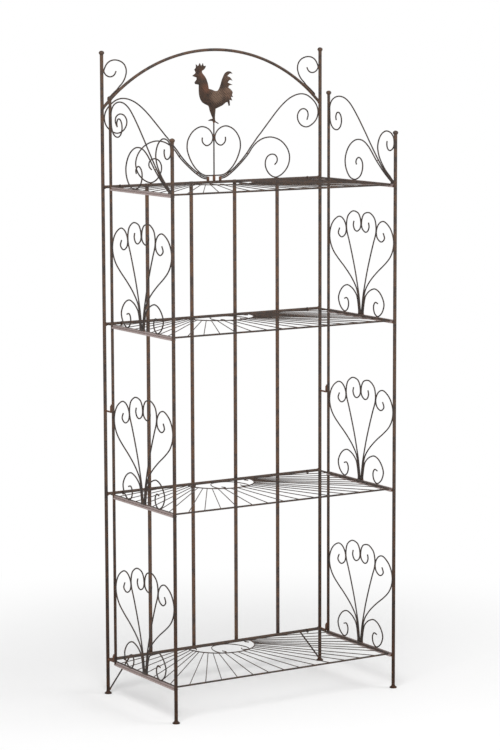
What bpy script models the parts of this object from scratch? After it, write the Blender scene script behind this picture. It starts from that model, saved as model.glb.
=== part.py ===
"""Folding garden etagere of rusty iron: four wire shelves in an arched back frame and two side frames.

The back frame stands still. Each side frame hangs by two sleeves on pins of the back posts and
swings outwards. Each shelf rests on the side frames' crossbars and tips up about its rear wire,
which turns in two eyes on the back rail.
Metres. The origin is on the floor under the middle, X points to the right and -Y to the front.
"""

import math

import bmesh
import bpy
from mathutils import Matrix, Vector
from mathutils.geometry import interpolate_bezier

NAME = "garden_etagere"

# Whole etagere
WIDTH = 0.696  # between the axes of left and right posts
DEPTH = 0.370  # between the axes of back and front posts
HEIGHT = 1.756  # of the back posts
SHELF_SHARES = (0.7933, 0.5826, 0.3178, 0.0541)  # of the height, from the top shelf down
FRONT_POST_SHARE = 0.8764
REAR_POST_SHARE = 0.9322
ARCH_TOP_SHARE = 0.9988  # of the arch's axis
ARCH_RISE_SHARE = 0.087
GAP = 0.0003  # between pieces that touch

# Tubes, rods and bars
POST_RADIUS = 0.00475
REAR_POST_RADIUS = 0.004
RAIL_RADIUS = 0.004
SCROLL_RADIUS = 0.0019
ROD_RADIUS = 0.002
BRACE_RADIUS = 0.0022
BALL_RADIUS = 0.0075
BALL_RISE = 0.006  # half the ball's height
FOOT_RADIUS = 0.010
FOOT_HEIGHT = 0.009
BAR_WIDTH = 0.010
BAR_THICKNESS = 0.004
CROSSBAR_WIDTH = 0.014
CROSSBAR_THICKNESS = 0.004
CROSSBAR_INSET = 0.0025  # of its middle from the side posts' plane
BAR_PITCH_SHARE = 0.2
BAR_COUNT = 4
BRACE_FOOT = 0.012
BRACE_REACH = 0.065

# Pins and sleeves that the side frames swing on
REAR_POST_SETBACK = 0.044  # of the side frame's rear post from the back posts' plane
PIN_RADIUS = 0.0025
PIN_BEND = 0.0035
PIN_HEIGHT = 0.021
SLEEVE_RADIUS = 0.0043
SLEEVE_BORE = 0.003
SLEEVE_HEIGHT = 0.014
HOOK_SHARES = {"upper": 0.4482, "lower": 0.055}  # of the height

# Shelves
SHELF_WIRE_RADIUS = 0.0025
SHELF_FRONT_INSET = 0.0115  # of the front wire's axis from the front posts' plane
SHELF_SIDE_INSET = 0.008  # of the side wire's axis from the side posts' plane
SHELF_CORNER = 0.008
EYE_RADIUS = 0.0046
EYE_WIRE_RADIUS = 0.0015
EYE_SHARE = 0.862  # of the half width
RAY_RADIUS = 0.0012
RAY_FOCUS = 0.040  # where the rays would meet, behind the back posts' plane
RAY_FRONT_SHARE = 0.882  # of the shelf's half width, where the last front ray ends
RAY_FRONT_COUNT = 6  # to each side of the middle ray
RAY_SIDE_SHARES = (0.878, 0.149)  # of the depth, where the first and the last side ray end
RAY_SIDE_COUNT = 7
RING_BEND_SHARE = 0.1437  # of the width
RING_SETBACK = 0.015
RING_RADIUS = 0.0015
ROSETTE_RADIUS = 0.0013
RAY_LIFT = 0.0002  # of the rays' plane above the ring's, and of the ring's above the rosette's
EYE_TURN = math.radians(10)  # of the eye's first corner from the level

# Scrolls and the rooster
FAN_SHARE = 0.1629  # of the height
TOP_SCROLL_SHARE = 0.1316  # of the height
STRIP_THICKNESS = 0.003  # of the strip on edge that a side frame's scrolls stand on
STRIP_HEIGHT = 0.005
STRIP_BITE = 0.0008  # how far the lowest wires reach into the strip
BLOCK_THICKNESS = 0.0044
FAN_BLOCK_LENGTH = 0.024
FAN_BLOCK_HEIGHT = 0.008
TOP_BLOCK_LENGTH = 0.026
TOP_BLOCK_HEIGHT = 0.011
TOP_BLOCK_SHARE = 0.076  # of its middle, along the side frame
COLLAR_LENGTH = 0.007  # of the three collars that hold the crest's scrolls on the top rail
COLLAR_RISE_SHARE = 0.0308246  # of the crest's height
HEART_COLLAR_RISE_SHARE = 0.0378302
COLLAR_SHARE = 0.0575  # of the half width, from the middle
CORNER_ANGLE_SHARES = (0.919, 0.871, 0.825)  # of the arch's half angle, where a corner scroll lies on it
ROOSTER_HEIGHT_SHARE = 0.4622  # between top rail and arch
ROOSTER_THICKNESS = 0.002
PERCH_SHARE = 0.4446  # of the rooster's feet, between top rail and arch

# Fineness of the mesh
MERGE = 0.00001
THIRD = 1 / 3
HANDS = {"left": -1, "right": 1}
SQUARE = 4
HEXAGON = 6
OCTAGON = 8
TURNED_STEPS = 10
ARCH_STEPS = 14
EYE_STEPS = 8
CORNER_STEPS = 2
PIN_STEPS = 2
RING_STEPS = 8
BEND_STEP = math.radians(45)
SHARP = math.radians(50)
QUARTER = math.pi / 2

# Colour, roughness and metallic value of each kind of iron
FINISHES = {
    "post": ((0.091, 0.061, 0.048), 0.62, 0.45),
    "rail": ((0.127, 0.064, 0.033), 0.70, 0.35),
    "bar": ((0.119, 0.078, 0.066), 0.58, 0.45),
    "scroll": ((0.080, 0.058, 0.045), 0.60, 0.45),
    "shelf": ((0.076, 0.055, 0.044), 0.60, 0.45),
    "rooster": ((0.098, 0.055, 0.034), 0.72, 0.30),
    "fitting": ((0.089, 0.048, 0.030), 0.66, 0.40),
}

# Profiles of the turned ends: radius and height as shares
BALL_SHARES = ((0, 1), (0.6, 0.77), (0.97, 0.2), (0.93, -0.4))
FOOT_SHARES = ((0, 1), (0.25, 0.6), (1, 0.3), (1, 0))

# Scrolls in their own plane: shares of the panel's width and height, and where a wire touches
# its neighbour two more numbers, the wire's distance from it counted in wire radii with their gap.
S_SCROLL_SHARES = (
    (0.058, 0.028), (0.087, 0.031), (0.119, 0.044), (0.184, 0.087), (0.256, 0.147), (0.309, 0.202),
    (0.344, 0.245), (0.415, 0.326), (0.599, 0.521), (0.693, 0.601), (0.785, 0.642), (0.833, 0.647),
    (0.88, 0.639), (0.924, 0.615), (0.985, 0.546), (1, 0.499, -1, 0), (0.979, 0.448), (0.938, 0.409),
    (0.886, 0.388), (0.833, 0.402), (0.801, 0.44), (0.795, 0.482), (0.819, 0.52), (0.857, 0.531),
    (0.889, 0.513), (0.897, 0.479), (0.886, 0.443),
)
INNER_SCROLL_SHARES = (
    (0.069, 0.017), (0.091, 0.019), (0.126, 0.033), (0.191, 0.077), (0.265, 0.138), (0.321, 0.193),
    (0.361, 0.244), (0.453, 0.307), (0.542, 0.318), (0.6, 0.304), (0.647, 0.279), (0.688, 0.238),
    (0.709, 0.198), (0.718, 0.154), (0.709, 0.106), (0.653, 0.034), (0.583, 0, 0, 1), (0.542, 0.018),
    (0.507, 0.05), (0.487, 0.092), (0.487, 0.135), (0.507, 0.17), (0.542, 0.185), (0.577, 0.179),
    (0.597, 0.156), (0.596, 0.126), (0.574, 0.102),
)
CORNER_SCROLL_SHARES = (
    (0.857, 0.389), (0.816, 0.497), (0.795, 0.634), (0.8, 0.713), (0.819, 0.782), (0.851, 0.827),
    (0.894, 0.849), (0.935, 0.834), (0.967, 0.785), (1, 0.654, -1, 0), (0.958, 0.566), (0.929, 0.559),
    (0.903, 0.588), (0.886, 0.654),
)
HEART_SHARES = (
    (0, 0.04), (0.087, 0.044), (0.175, 0.104), (0.218, 0.167), (0.247, 0.241), (0.243, 0.308),
    (0.201, 0.375), (0.163, 0.402), (0.117, 0.416), (0.073, 0.409), (0.035, 0.385), (0, 0.347, 2.1, 0),
    (0, 0.314, 2.1, 0), (0.029, 0.286), (0.064, 0.27), (0.093, 0.283), (0.108, 0.305), (0.108, 0.333),
)
FAN_INNER_SHARES = (
    (0, 0, 1, 1), (0.06, 0.175), (0.183, 0.42), (0.378, 0.71), (0.441, 0.79), (0.422, 0.932),
    (0.24, 0.995), (0.095, 0.979), (0.032, 0.937), (0, 0.895, 1, 0), (0, 0.86, 1, 0), (0.042, 0.828),
    (0.126, 0.802), (0.2, 0.815), (0.241, 0.857), (0.225, 0.899),
)
FAN_OUTER_SHARES = (
    (0, 0, 3, 1), (0.09, 0.175), (0.18, 0.28), (0.504, 0.437), (0.87, 0.584), (0.956, 0.654),
    (1, 0.727, -1, 0), (0.965, 0.797), (0.889, 0.864), (0.673, 0.927), (0.567, 0.909), (0.49, 0.864),
    (0.463, 0.811), (0.492, 0.762), (0.578, 0.731), (0.649, 0.733), (0.712, 0.766), (0.673, 0.815),
)
FAN_SPIRAL_SHARES = (
    (0, 0, 5, 1), (0.123, 0.168), (0.214, 0.224), (0.429, 0.268), (0.555, 0.245), (0.656, 0.192),
    (0.704, 0.129), (0.662, 0.063), (0.504, 0, 0, 1), (0.427, 0.028), (0.389, 0.07), (0.395, 0.112),
    (0.441, 0.14), (0.517, 0.131),
)
TOP_SCROLL_SHARES = (
    (0.063, 0.03), (0.337, 0.364), (0.451, 0.524), (0.681, 0.883), (0.757, 0.965), (0.832, 1), (0.901, 1),
    (0.958, 0.965), (1, 0.9, -1, 0), (1, 0.762, -1, 0), (0.98, 0.662), (0.946, 0.615), (0.901, 0.597),
    (0.851, 0.619), (0.82, 0.68), (0.816, 0.749), (0.845, 0.81), (0.886, 0.81), (0.905, 0.758),
    (0.895, 0.71),
)
TOP_HOOK_SHARES = (
    (0.044, 0.022), (0.11, 0.087, -1.4, 1.5), (0.154, 0.143, -1.4, 1.5), (0.199, 0.195, -1.4, 1.5),
    (0.246, 0.286), (0.274, 0.359), (0.281, 0.424), (0.265, 0.506), (0.233, 0.576), (0.18, 0.615),
    (0.12, 0.623), (0.063, 0.593), (0.025, 0.545), (0, 0.489, 1, 0), (0.022, 0.437), (0.066, 0.403),
    (0.11, 0.411), (0.136, 0.455), (0.12, 0.506),
)
TOP_SPIRAL_SHARES = (
    (0.088, 0.022), (0.113, 0.054), (0.199, 0.136), (0.281, 0.229), (0.432, 0.42), (0.526, 0.485),
    (0.621, 0.485), (0.69, 0.437), (0.738, 0.355), (0.757, 0.268), (0.747, 0.182), (0.716, 0.1),
    (0.671, 0.039), (0.624, 0, 0, 1), (0.567, 0.022), (0.523, 0.078), (0.504, 0.152), (0.507, 0.216),
    (0.53, 0.268), (0.564, 0.286), (0.586, 0.247), (0.567, 0.208),
)

# Rosette in the shelf's ring, as shares of the ring's bend: across and to the front
ROSETTE_CURL_SHARES = ((1, 0.1), (0.985, 0.01), (0.88, -0.01), (0.8, 0.08), (0.86, 0.19))
ROSETTE_ARCH_SHARES = (
    (0, 0.02), (0.25, 0.08), (0.42, 0.3), (0.5, 0.65), (0.44, 0.89), (0.27, 0.83), (0.31, 0.68),
)

# Rooster seen from the front, as shares of its height, from the top of its rod
ROOSTER_SHARES = (
    (-0.41, 0.779), (-0.353, 0.818), (-0.347, 0.836), (-0.371, 0.879), (-0.341, 0.915),
    (-0.341, 0.97), (-0.298, 0.933), (-0.265, 0.988), (-0.238, 0.933), (-0.207, 0.982),
    (-0.189, 0.936), (-0.147, 0.939), (-0.171, 0.891), (-0.225, 0.855), (-0.219, 0.824),
    (-0.177, 0.776), (-0.141, 0.721), (-0.116, 0.661), (-0.095, 0.561), (-0.038, 0.545),
    (0.011, 0.527), (0.053, 0.521), (0.084, 0.53), (0.108, 0.564), (0.132, 0.618), (0.156, 0.691),
    (0.181, 0.745), (0.211, 0.8), (0.247, 0.83), (0.29, 0.842), (0.332, 0.833), (0.368, 0.8),
    (0.314, 0.803), (0.265, 0.764), (0.32, 0.739), (0.365, 0.685), (0.314, 0.697), (0.272, 0.658),
    (0.368, 0.615), (0.302, 0.606), (0.284, 0.573), (0.332, 0.539), (0.368, 0.491), (0.356, 0.448),
    (0.378, 0.412), (0.332, 0.418), (0.359, 0.355), (0.308, 0.37), (0.314, 0.279), (0.293, 0.267),
    (0.272, 0.333), (0.229, 0.324), (0.181, 0.288), (0.12, 0.261), (0.035, 0.227), (0.026, 0.036),
    (0.096, -0.012), (0.084, -0.025), (0.02, 0.006), (0.012, 0), (-0.012, 0), (-0.025, 0.024),
    (-0.113, 0.03), (-0.074, 0.055), (-0.019, 0.067), (-0.056, 0.145), (-0.08, 0.206),
    (-0.101, 0.273), (-0.171, 0.309), (-0.219, 0.339), (-0.256, 0.388), (-0.277, 0.448),
    (-0.286, 0.521), (-0.286, 0.63), (-0.356, 0.642), (-0.365, 0.673), (-0.328, 0.715),
    (-0.328, 0.752), (-0.365, 0.761),
)

# Places worked out from the sizes above
BACK = DEPTH / 2
SIDE = WIDTH / 2
SHELF_HEIGHTS = [share * HEIGHT for share in SHELF_SHARES]
SEAT = SCROLL_RADIUS + GAP
CLEAR_SIDE = SIDE - POST_RADIUS
TOP_RAIL_TOP = SHELF_HEIGHTS[0] + RAIL_RADIUS
REAR_POST_TOP = REAR_POST_SHARE * HEIGHT
ARCH_TOP = ARCH_TOP_SHARE * HEIGHT
ARCH_RISE = ARCH_RISE_SHARE * HEIGHT
ARCH_BEND = (SIDE**2 + ARCH_RISE**2) / (2 * ARCH_RISE)
ARCH_ANGLE = math.asin(SIDE / ARCH_BEND)
CREST = ARCH_TOP - TOP_RAIL_TOP
ROOSTER_HEIGHT = ROOSTER_HEIGHT_SHARE * CREST
RING_BEND = RING_BEND_SHARE * WIDTH
REAR_POST_PLACE = BACK - REAR_POST_SETBACK
HINGE_PLACE = REAR_POST_PLACE + REAR_POST_RADIUS + GAP + SLEEVE_RADIUS
PANEL_FRONT = -BACK + POST_RADIUS
PANEL_BACK = REAR_POST_PLACE - REAR_POST_RADIUS
PANEL_DEPTH = PANEL_BACK - PANEL_FRONT
PANEL_MIDDLE = (PANEL_FRONT + PANEL_BACK) / 2
SHELF_HINGE_PLACE = BACK - RAIL_RADIUS - EYE_RADIUS
SHELF_SIDE = SIDE - SHELF_SIDE_INSET
SHELF_FRONT = -BACK + SHELF_FRONT_INSET - SHELF_HINGE_PLACE
CROSSBAR_DROP = SHELF_WIRE_RADIUS + GAP
RAY_START = Vector((0, BACK + RAY_FOCUS - SHELF_HINGE_PLACE, 0))
RING_MIDDLE = Vector((0, BACK - RING_SETBACK - SHELF_HINGE_PLACE, 0))


def baked(item):
    """Mesh that an object's modifiers or bevel make; the object is then removed."""
    bpy.context.scene.collection.objects.link(item)
    bpy.context.view_layer.update()
    shown = item.evaluated_get(bpy.context.evaluated_depsgraph_get())
    mesh = bpy.data.meshes.new_from_object(shown)
    bpy.data.objects.remove(item)
    return mesh


def welded(mesh):
    """The mesh with its loose caps and seams merged."""
    shape = bmesh.new()
    shape.from_mesh(mesh)
    bmesh.ops.remove_doubles(shape, verts=shape.verts, dist=MERGE)
    shape.to_mesh(mesh)
    shape.free()
    return mesh


def wire(points, radius, sides, closed=False):
    """Round wire along points, with as many sides as given."""
    curve = bpy.data.curves.new("wire", "CURVE")
    curve.dimensions = "3D"
    curve.bevel_depth = radius
    curve.bevel_resolution = (sides - SQUARE) // 2
    curve.use_fill_caps = not closed
    spline = curve.splines.new("POLY")
    spline.points.add(len(points) - len(spline.points))
    for knot, point in zip(spline.points, points):
        knot.co = (*point, 1)
    spline.use_cyclic_u = closed
    return welded(baked(bpy.data.objects.new("wire", curve)))


def block(sizes):
    """Box of the given sizes around the origin."""
    mesh = bpy.data.meshes.new("block")
    shape = bmesh.new()
    bmesh.ops.create_cube(shape, size=1, matrix=Matrix.Diagonal((*sizes, 1)))
    shape.to_mesh(mesh)
    shape.free()
    return mesh


def turned(profile):
    """Body of revolution about Z of a profile that runs from top to bottom."""
    mesh = bpy.data.meshes.new("turned")
    corners = [(radius, 0, height) for radius, height in profile]
    indices = range(len(corners))
    mesh.from_pydata(corners, list(zip(indices, indices[1:])), [])
    item = bpy.data.objects.new("turned", mesh)
    screw = item.modifiers.new("Turn", "SCREW")
    screw.steps = TURNED_STEPS
    screw.render_steps = TURNED_STEPS
    screw.use_merge_vertices = True
    screw.merge_threshold = MERGE
    return welded(baked(item))


def joined(meshes):
    """One mesh that holds several separate shapes."""
    mesh = bpy.data.meshes.new("joined")
    shape = bmesh.new()
    for piece in meshes:
        shape.from_mesh(piece)
    shape.to_mesh(mesh)
    shape.free()
    return mesh


def fused(mesh, *others):
    """One body of a mesh and the meshes that overlap it."""
    for other in others:
        tool = bpy.data.objects.new("tool", other)
        tool.hide_render = True
        tool.display_type = "WIRE"
        bpy.context.scene.collection.objects.link(tool)
        item = bpy.data.objects.new("joint", mesh)
        union = item.modifiers.new("Union", "BOOLEAN")
        union.operation = "UNION"
        union.solver = "EXACT"
        union.object = tool
        mesh = baked(item)
        bpy.data.objects.remove(tool)
    return mesh


def shifted(mesh, place):
    """The mesh moved to a place."""
    mesh.transform(Matrix.Translation(place))
    return mesh


def trimmed(mesh, place, outward):
    """The mesh cut off beyond a plane and closed there."""
    shape = bmesh.new()
    shape.from_mesh(mesh)
    parts = shape.verts[:] + shape.edges[:] + shape.faces[:]
    cut = bmesh.ops.bisect_plane(shape, geom=parts, plane_co=place, plane_no=outward, clear_outer=True)
    rim = [part for part in cut["geom_cut"] if isinstance(part, bmesh.types.BMEdge)]
    bmesh.ops.holes_fill(shape, edges=rim)
    shape.to_mesh(mesh)
    shape.free()
    return mesh


def laid_out(shares, span, rise):
    """Points of a scroll in its own plane, in metres."""
    points = []
    for across, up, *seats in shares:
        seats_across, seats_up = seats or (0, 0)
        points.append(Vector((across * span + seats_across * SEAT, up * rise + seats_up * SEAT, 0)))
    return points


def bent(points):
    """Points along a smooth bend through the given ones, more of them where it turns more."""
    padded = [points[0], *points, points[-1]]
    slopes = []
    for before, point, after in zip(padded, padded[1:], padded[2:]):
        slopes.append((after - before) / ((point - before).length + (after - point).length))
    route = [points[0]]
    for start, end, leaving, arriving in zip(points, points[1:], slopes, slopes[1:]):
        handle = (end - start).length * THIRD
        pieces = max(1, math.ceil(leaving.angle(arriving) / BEND_STEP))
        knots = (start, start + leaving * handle, end - arriving * handle, end)
        route += interpolate_bezier(*knots, pieces + 1)[1:]
    return route


def arc(radius, start, end, steps):
    """Points on an arc around the origin, by angle, as pairs."""
    angles = [start + (end - start) * step / steps for step in range(steps + 1)]
    return [(radius * math.cos(angle), radius * math.sin(angle)) for angle in angles]


def material(name, finish):
    """Rough iron in the colour of one kind of piece."""
    colour, roughness, metallic = FINISHES[finish]
    paint = bpy.data.materials.new(name)
    paint.use_nodes = True
    shader = paint.node_tree.nodes["Principled BSDF"]
    shader.inputs["Base Color"].default_value = (*colour, 1)
    shader.inputs["Roughness"].default_value = roughness
    shader.inputs["Metallic"].default_value = metallic
    return paint


def placed(group, name, mesh, finish, place, hinge=None):
    """Named piece of the etagere at a place, hung on its hinge if it has one."""
    mesh = mesh.copy()
    mesh.name = name
    mesh.materials.clear()
    mesh.materials.append(material(name, finish))
    mesh.shade_smooth()
    mesh.set_sharp_from_angle(angle=SHARP)
    item = bpy.data.objects.new(name, mesh)
    item.parent = hinge
    item.location = Vector(place) - (hinge.location if hinge else Vector((0, 0, 0)))
    group.objects.link(item)


def hinge_at(group, name, place):
    """Empty on a joint's axis."""
    empty = bpy.data.objects.new(name, None)
    empty.location = place
    group.objects.link(empty)
    return empty


def ball_profile(top, radius):
    """Profile of a post's ball, down to where the post begins."""
    middle = top - BALL_RISE
    points = [(share * BALL_RADIUS, middle + up * BALL_RISE) for share, up in BALL_SHARES]
    return [*points, (radius, middle - BALL_RISE)]


def standing_post(top):
    """Post from its flared foot on the floor to its ball."""
    flare = FOOT_RADIUS - POST_RADIUS
    foot = [(POST_RADIUS + share * flare, up * FOOT_HEIGHT) for share, up in FOOT_SHARES]
    return turned([*ball_profile(top, POST_RADIUS), *foot, (0, 0)])


def rear_post(bottom):
    """Side frame's rear post, which ends in the lowest crossbar's plane."""
    top = REAR_POST_TOP - 2 * BALL_RISE - GAP
    return turned([(0, top), (REAR_POST_RADIUS, top), (REAR_POST_RADIUS, bottom), (0, bottom)])


def rear_ball():
    """Ball that closes a rear post."""
    profile = ball_profile(REAR_POST_TOP, REAR_POST_RADIUS)
    return turned([*profile, (0, profile[-1][-1])])


def arch():
    """Arch between the back posts, cut off flat just before them."""
    route = arc(ARCH_BEND, QUARTER - ARCH_ANGLE, QUARTER + ARCH_ANGLE, ARCH_STEPS)
    mesh = wire([(across, 0, up) for across, up in route], RAIL_RADIUS, OCTAGON)
    for hand in HANDS.values():
        mesh = trimmed(mesh, (hand * (CLEAR_SIDE - GAP), 0, 0), (hand, 0, 0))
    return mesh


def back_rail():
    """Rail between the back posts with the two eyes in front that a shelf's rear wire turns in."""
    end = CLEAR_SIDE - GAP
    mesh = wire([(-end, 0, 0), (end, 0, 0)], RAIL_RADIUS, OCTAGON)
    drop = RAIL_RADIUS + EYE_RADIUS
    circle = arc(EYE_RADIUS, EYE_TURN, EYE_TURN + 2 * math.pi, EYE_STEPS)[1:]
    for hand in HANDS.values():
        eye = [(hand * EYE_SHARE * SIDE, forward - drop, up) for forward, up in circle]
        mesh = fused(mesh, wire(eye, EYE_WIRE_RADIUS, SQUARE, closed=True))
    return mesh


def collar(across, height):
    """Collar on the top rail that a scroll of the crest is held by."""
    return shifted(block((COLLAR_LENGTH, BLOCK_THICKNESS, height)), (across, 0, GAP + height / 2))


def back_scroll(shares, hand):
    """Scroll of the back frame's crest, to one side of the middle."""
    route = bent(laid_out(shares, CLEAR_SIDE, CREST))
    return wire([(hand * across, 0, up) for across, up, _ in route], SCROLL_RADIUS, HEXAGON)


def s_scroll(hand):
    """Long scroll from its collar near the middle of the top rail out to the back post."""
    held = collar(hand * COLLAR_SHARE * CLEAR_SIDE, COLLAR_RISE_SHARE * CREST)
    return fused(held, back_scroll(S_SCROLL_SHARES, hand))


def corner_scroll(hand):
    """Scroll between arch and post that starts along the arch's back, from the arch's foot up."""
    reach = ARCH_BEND + RAIL_RADIUS + SEAT + GAP
    start = []
    for share in CORNER_ANGLE_SHARES:
        angle = share * ARCH_ANGLE
        start.append(Vector((reach * math.sin(angle), reach * math.cos(angle) - ARCH_BEND + ARCH_RISE, 0)))
    route = bent(start + laid_out(CORNER_SCROLL_SHARES, CLEAR_SIDE, ARCH_RISE))
    return wire([(hand * across, 0, up) for across, up, _ in route], SCROLL_RADIUS, HEXAGON)


def heart():
    """Heart of one wire on its collar, its two upper ends curled inwards beside the rooster's rod."""
    half = bent(laid_out(HEART_SHARES, CLEAR_SIDE, CREST))
    left = [(-across, 0, up) for across, up, _ in reversed(half[1:])]
    right = [(across, 0, up) for across, up, _ in half]
    return fused(collar(0, HEART_COLLAR_RISE_SHARE * CREST), wire(left + right, SCROLL_RADIUS, HEXAGON))


def rooster():
    """Flat rooster cut from sheet, standing on its rod."""
    curve = bpy.data.curves.new("rooster", "CURVE")
    curve.dimensions = "2D"
    curve.fill_mode = "BOTH"
    curve.extrude = ROOSTER_THICKNESS / 2
    spline = curve.splines.new("POLY")
    spline.points.add(len(ROOSTER_SHARES) - len(spline.points))
    for knot, (across, up) in zip(spline.points, ROOSTER_SHARES):
        knot.co = (across * ROOSTER_HEIGHT, up * ROOSTER_HEIGHT, 0, 1)
    spline.use_cyclic_u = True
    mesh = welded(baked(bpy.data.objects.new("rooster", curve)))
    mesh.transform(Matrix.Rotation(QUARTER, len(knot.co), "X"))
    return mesh


def brace(hand):
    """Slanting rod from beside a back post's foot up to the lowest rail, from the foot's height."""
    rise = SHELF_HEIGHTS[-1] - RAIL_RADIUS - GAP - BRACE_RADIUS
    low = (hand * (CLEAR_SIDE - GAP - BRACE_RADIUS), 0, BRACE_FOOT)
    high = (hand * (SIDE - BRACE_REACH), 0, rise)
    return wire([low, high], BRACE_RADIUS, HEXAGON)


def hook():
    """Pin that stands up from an arm of the back post, with its axis on the origin."""
    reach = BACK - POST_RADIUS - GAP - HINGE_PLACE
    corner = arc(PIN_BEND, -QUARTER, -math.pi, PIN_STEPS)
    route = [(0, reach, 0)]
    route += [(0, PIN_BEND + forward, PIN_BEND + up) for forward, up in corner]
    route.append((0, 0, PIN_HEIGHT))
    return wire(route, PIN_RADIUS, HEXAGON)


def sleeve():
    """Short tube that drops over a pin."""
    profile = [(SLEEVE_RADIUS, SLEEVE_HEIGHT), (SLEEVE_RADIUS, 0), (SLEEVE_BORE, 0)]
    return turned([*profile, (SLEEVE_BORE, SLEEVE_HEIGHT), profile[0]])


def strip(middle):
    """Strip on edge along a side frame's crossbar, with its top that far above the scrolls' ground."""
    bar = block((STRIP_THICKNESS, PANEL_DEPTH - 2 * GAP, STRIP_HEIGHT))
    return shifted(bar, (0, middle, STRIP_BITE - STRIP_HEIGHT / 2))


def fan():
    """Fan of three mirrored pairs of scrolls that grow from one block on their strip."""
    wires = []
    for shares in (FAN_INNER_SHARES, FAN_OUTER_SHARES, FAN_SPIRAL_SHARES):
        route = bent(laid_out(shares, PANEL_DEPTH / 2, FAN_SHARE * HEIGHT))
        for hand in HANDS.values():
            points = [(0, hand * across, up) for across, up, _ in route]
            wires.append(wire(points, SCROLL_RADIUS, SQUARE))
    base = block((BLOCK_THICKNESS, FAN_BLOCK_LENGTH, FAN_BLOCK_HEIGHT))
    return fused(strip(0), shifted(base, (0, 0, FAN_BLOCK_HEIGHT / 2)), joined(wires))


def top_scrolls():
    """Three scrolls that rise from the front of their strip to the side frame's rear post."""
    mesh = block((BLOCK_THICKNESS, TOP_BLOCK_LENGTH, TOP_BLOCK_HEIGHT))
    shifted(mesh, (0, TOP_BLOCK_SHARE * PANEL_DEPTH, TOP_BLOCK_HEIGHT / 2))
    mesh = fused(strip(PANEL_DEPTH / 2), mesh)
    for shares in (TOP_SCROLL_SHARES, TOP_HOOK_SHARES, TOP_SPIRAL_SHARES):
        route = bent(laid_out(shares, PANEL_DEPTH, TOP_SCROLL_SHARE * HEIGHT))
        mesh = fused(mesh, wire([(0, back, up) for back, up, _ in route], SCROLL_RADIUS, SQUARE))
    return mesh


def ray_targets():
    """Where the rays of a shelf's right half end: along the side wire, then along the front wire."""
    inset = SHELF_WIRE_RADIUS + GAP + RAY_RADIUS
    first, last = (BACK - share * DEPTH - SHELF_HINGE_PLACE for share in RAY_SIDE_SHARES)
    step = (last - first) / (RAY_SIDE_COUNT - 1)
    targets = [Vector((SHELF_SIDE - inset, first + index * step, 0)) for index in range(RAY_SIDE_COUNT)]
    step = RAY_FRONT_SHARE * SHELF_SIDE / RAY_FRONT_COUNT
    for index in range(RAY_FRONT_COUNT + 1):
        targets.append(Vector((index * step, SHELF_FRONT + inset, 0)))
    return targets


def ring_start(target):
    """Where the line from the rays' focus to a target leaves the half ring, if it does."""
    line = (target - RAY_START).normalized()
    along = (RING_MIDDLE - RAY_START).dot(line)
    aside = (RAY_START + line * along - RING_MIDDLE).length
    if aside >= RING_BEND:
        return None
    start = RAY_START + line * (along + math.sqrt(RING_BEND**2 - aside**2))
    return start if start.y < RING_MIDDLE.y else None


def ray_pair(start, target):
    """A ray and its mirror image, or the middle ray alone."""
    mirrors = [Vector((hand, 1, 1)) for hand in HANDS.values()] if target.x else [Vector((1, 1, 1))]
    return [wire([start * mirror, target * mirror], RAY_RADIUS, SQUARE) for mirror in mirrors]


def mirrored_wire(half, radius):
    """Wire in the ring that runs through a half's points and their mirror images."""
    whole = [point * Vector((-1, 1, 1)) for point in reversed(half[1:])] + half
    return wire([point + RING_MIDDLE for point in whole], radius, SQUARE)


def sunburst():
    """Shelf's half ring with its rosette and the rays that run from it to the frame."""
    rays = []
    for target in ray_targets():
        start = ring_start(target)
        if start:
            rays += ray_pair(start, target)
    curl = bent(laid_out(ROSETTE_CURL_SHARES, RING_BEND, -RING_BEND))
    ring = [Vector((*point, 0)) for point in arc(RING_BEND, -QUARTER, 0, RING_STEPS)[:-1]]
    mesh = mirrored_wire(ring + curl, RING_RADIUS)
    rosette = mirrored_wire(bent(laid_out(ROSETTE_ARCH_SHARES, RING_BEND, -RING_BEND)), ROSETTE_RADIUS)
    return fused(mesh, shifted(rosette, (0, 0, -RAY_LIFT)), shifted(joined(rays), (0, 0, RAY_LIFT)))


def shelf_frame():
    """Shelf's closed wire frame with the rays that start from its rear wire, beside the ring."""
    corner_x = SHELF_SIDE - SHELF_CORNER
    middles = ((corner_x, -SHELF_CORNER), (-corner_x, -SHELF_CORNER))
    middles += ((-corner_x, SHELF_FRONT + SHELF_CORNER), (corner_x, SHELF_FRONT + SHELF_CORNER))
    loop = []
    for index, (x, y) in enumerate(middles):
        start = index * QUARTER
        for across, forward in arc(SHELF_CORNER, start, start + QUARTER, CORNER_STEPS):
            loop.append((x + across, y + forward, 0))
    mesh = wire(loop, SHELF_WIRE_RADIUS, HEXAGON, closed=True)
    rays = []
    for target in ray_targets():
        if not ring_start(target):
            end = target + (target - RAY_START) * (SHELF_SIDE - target.x) / target.x
            start = RAY_START.lerp(end, RAY_START.y / (RAY_START.y - end.y))
            rays += ray_pair(start, end)
    return fused(mesh, joined(rays))


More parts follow.
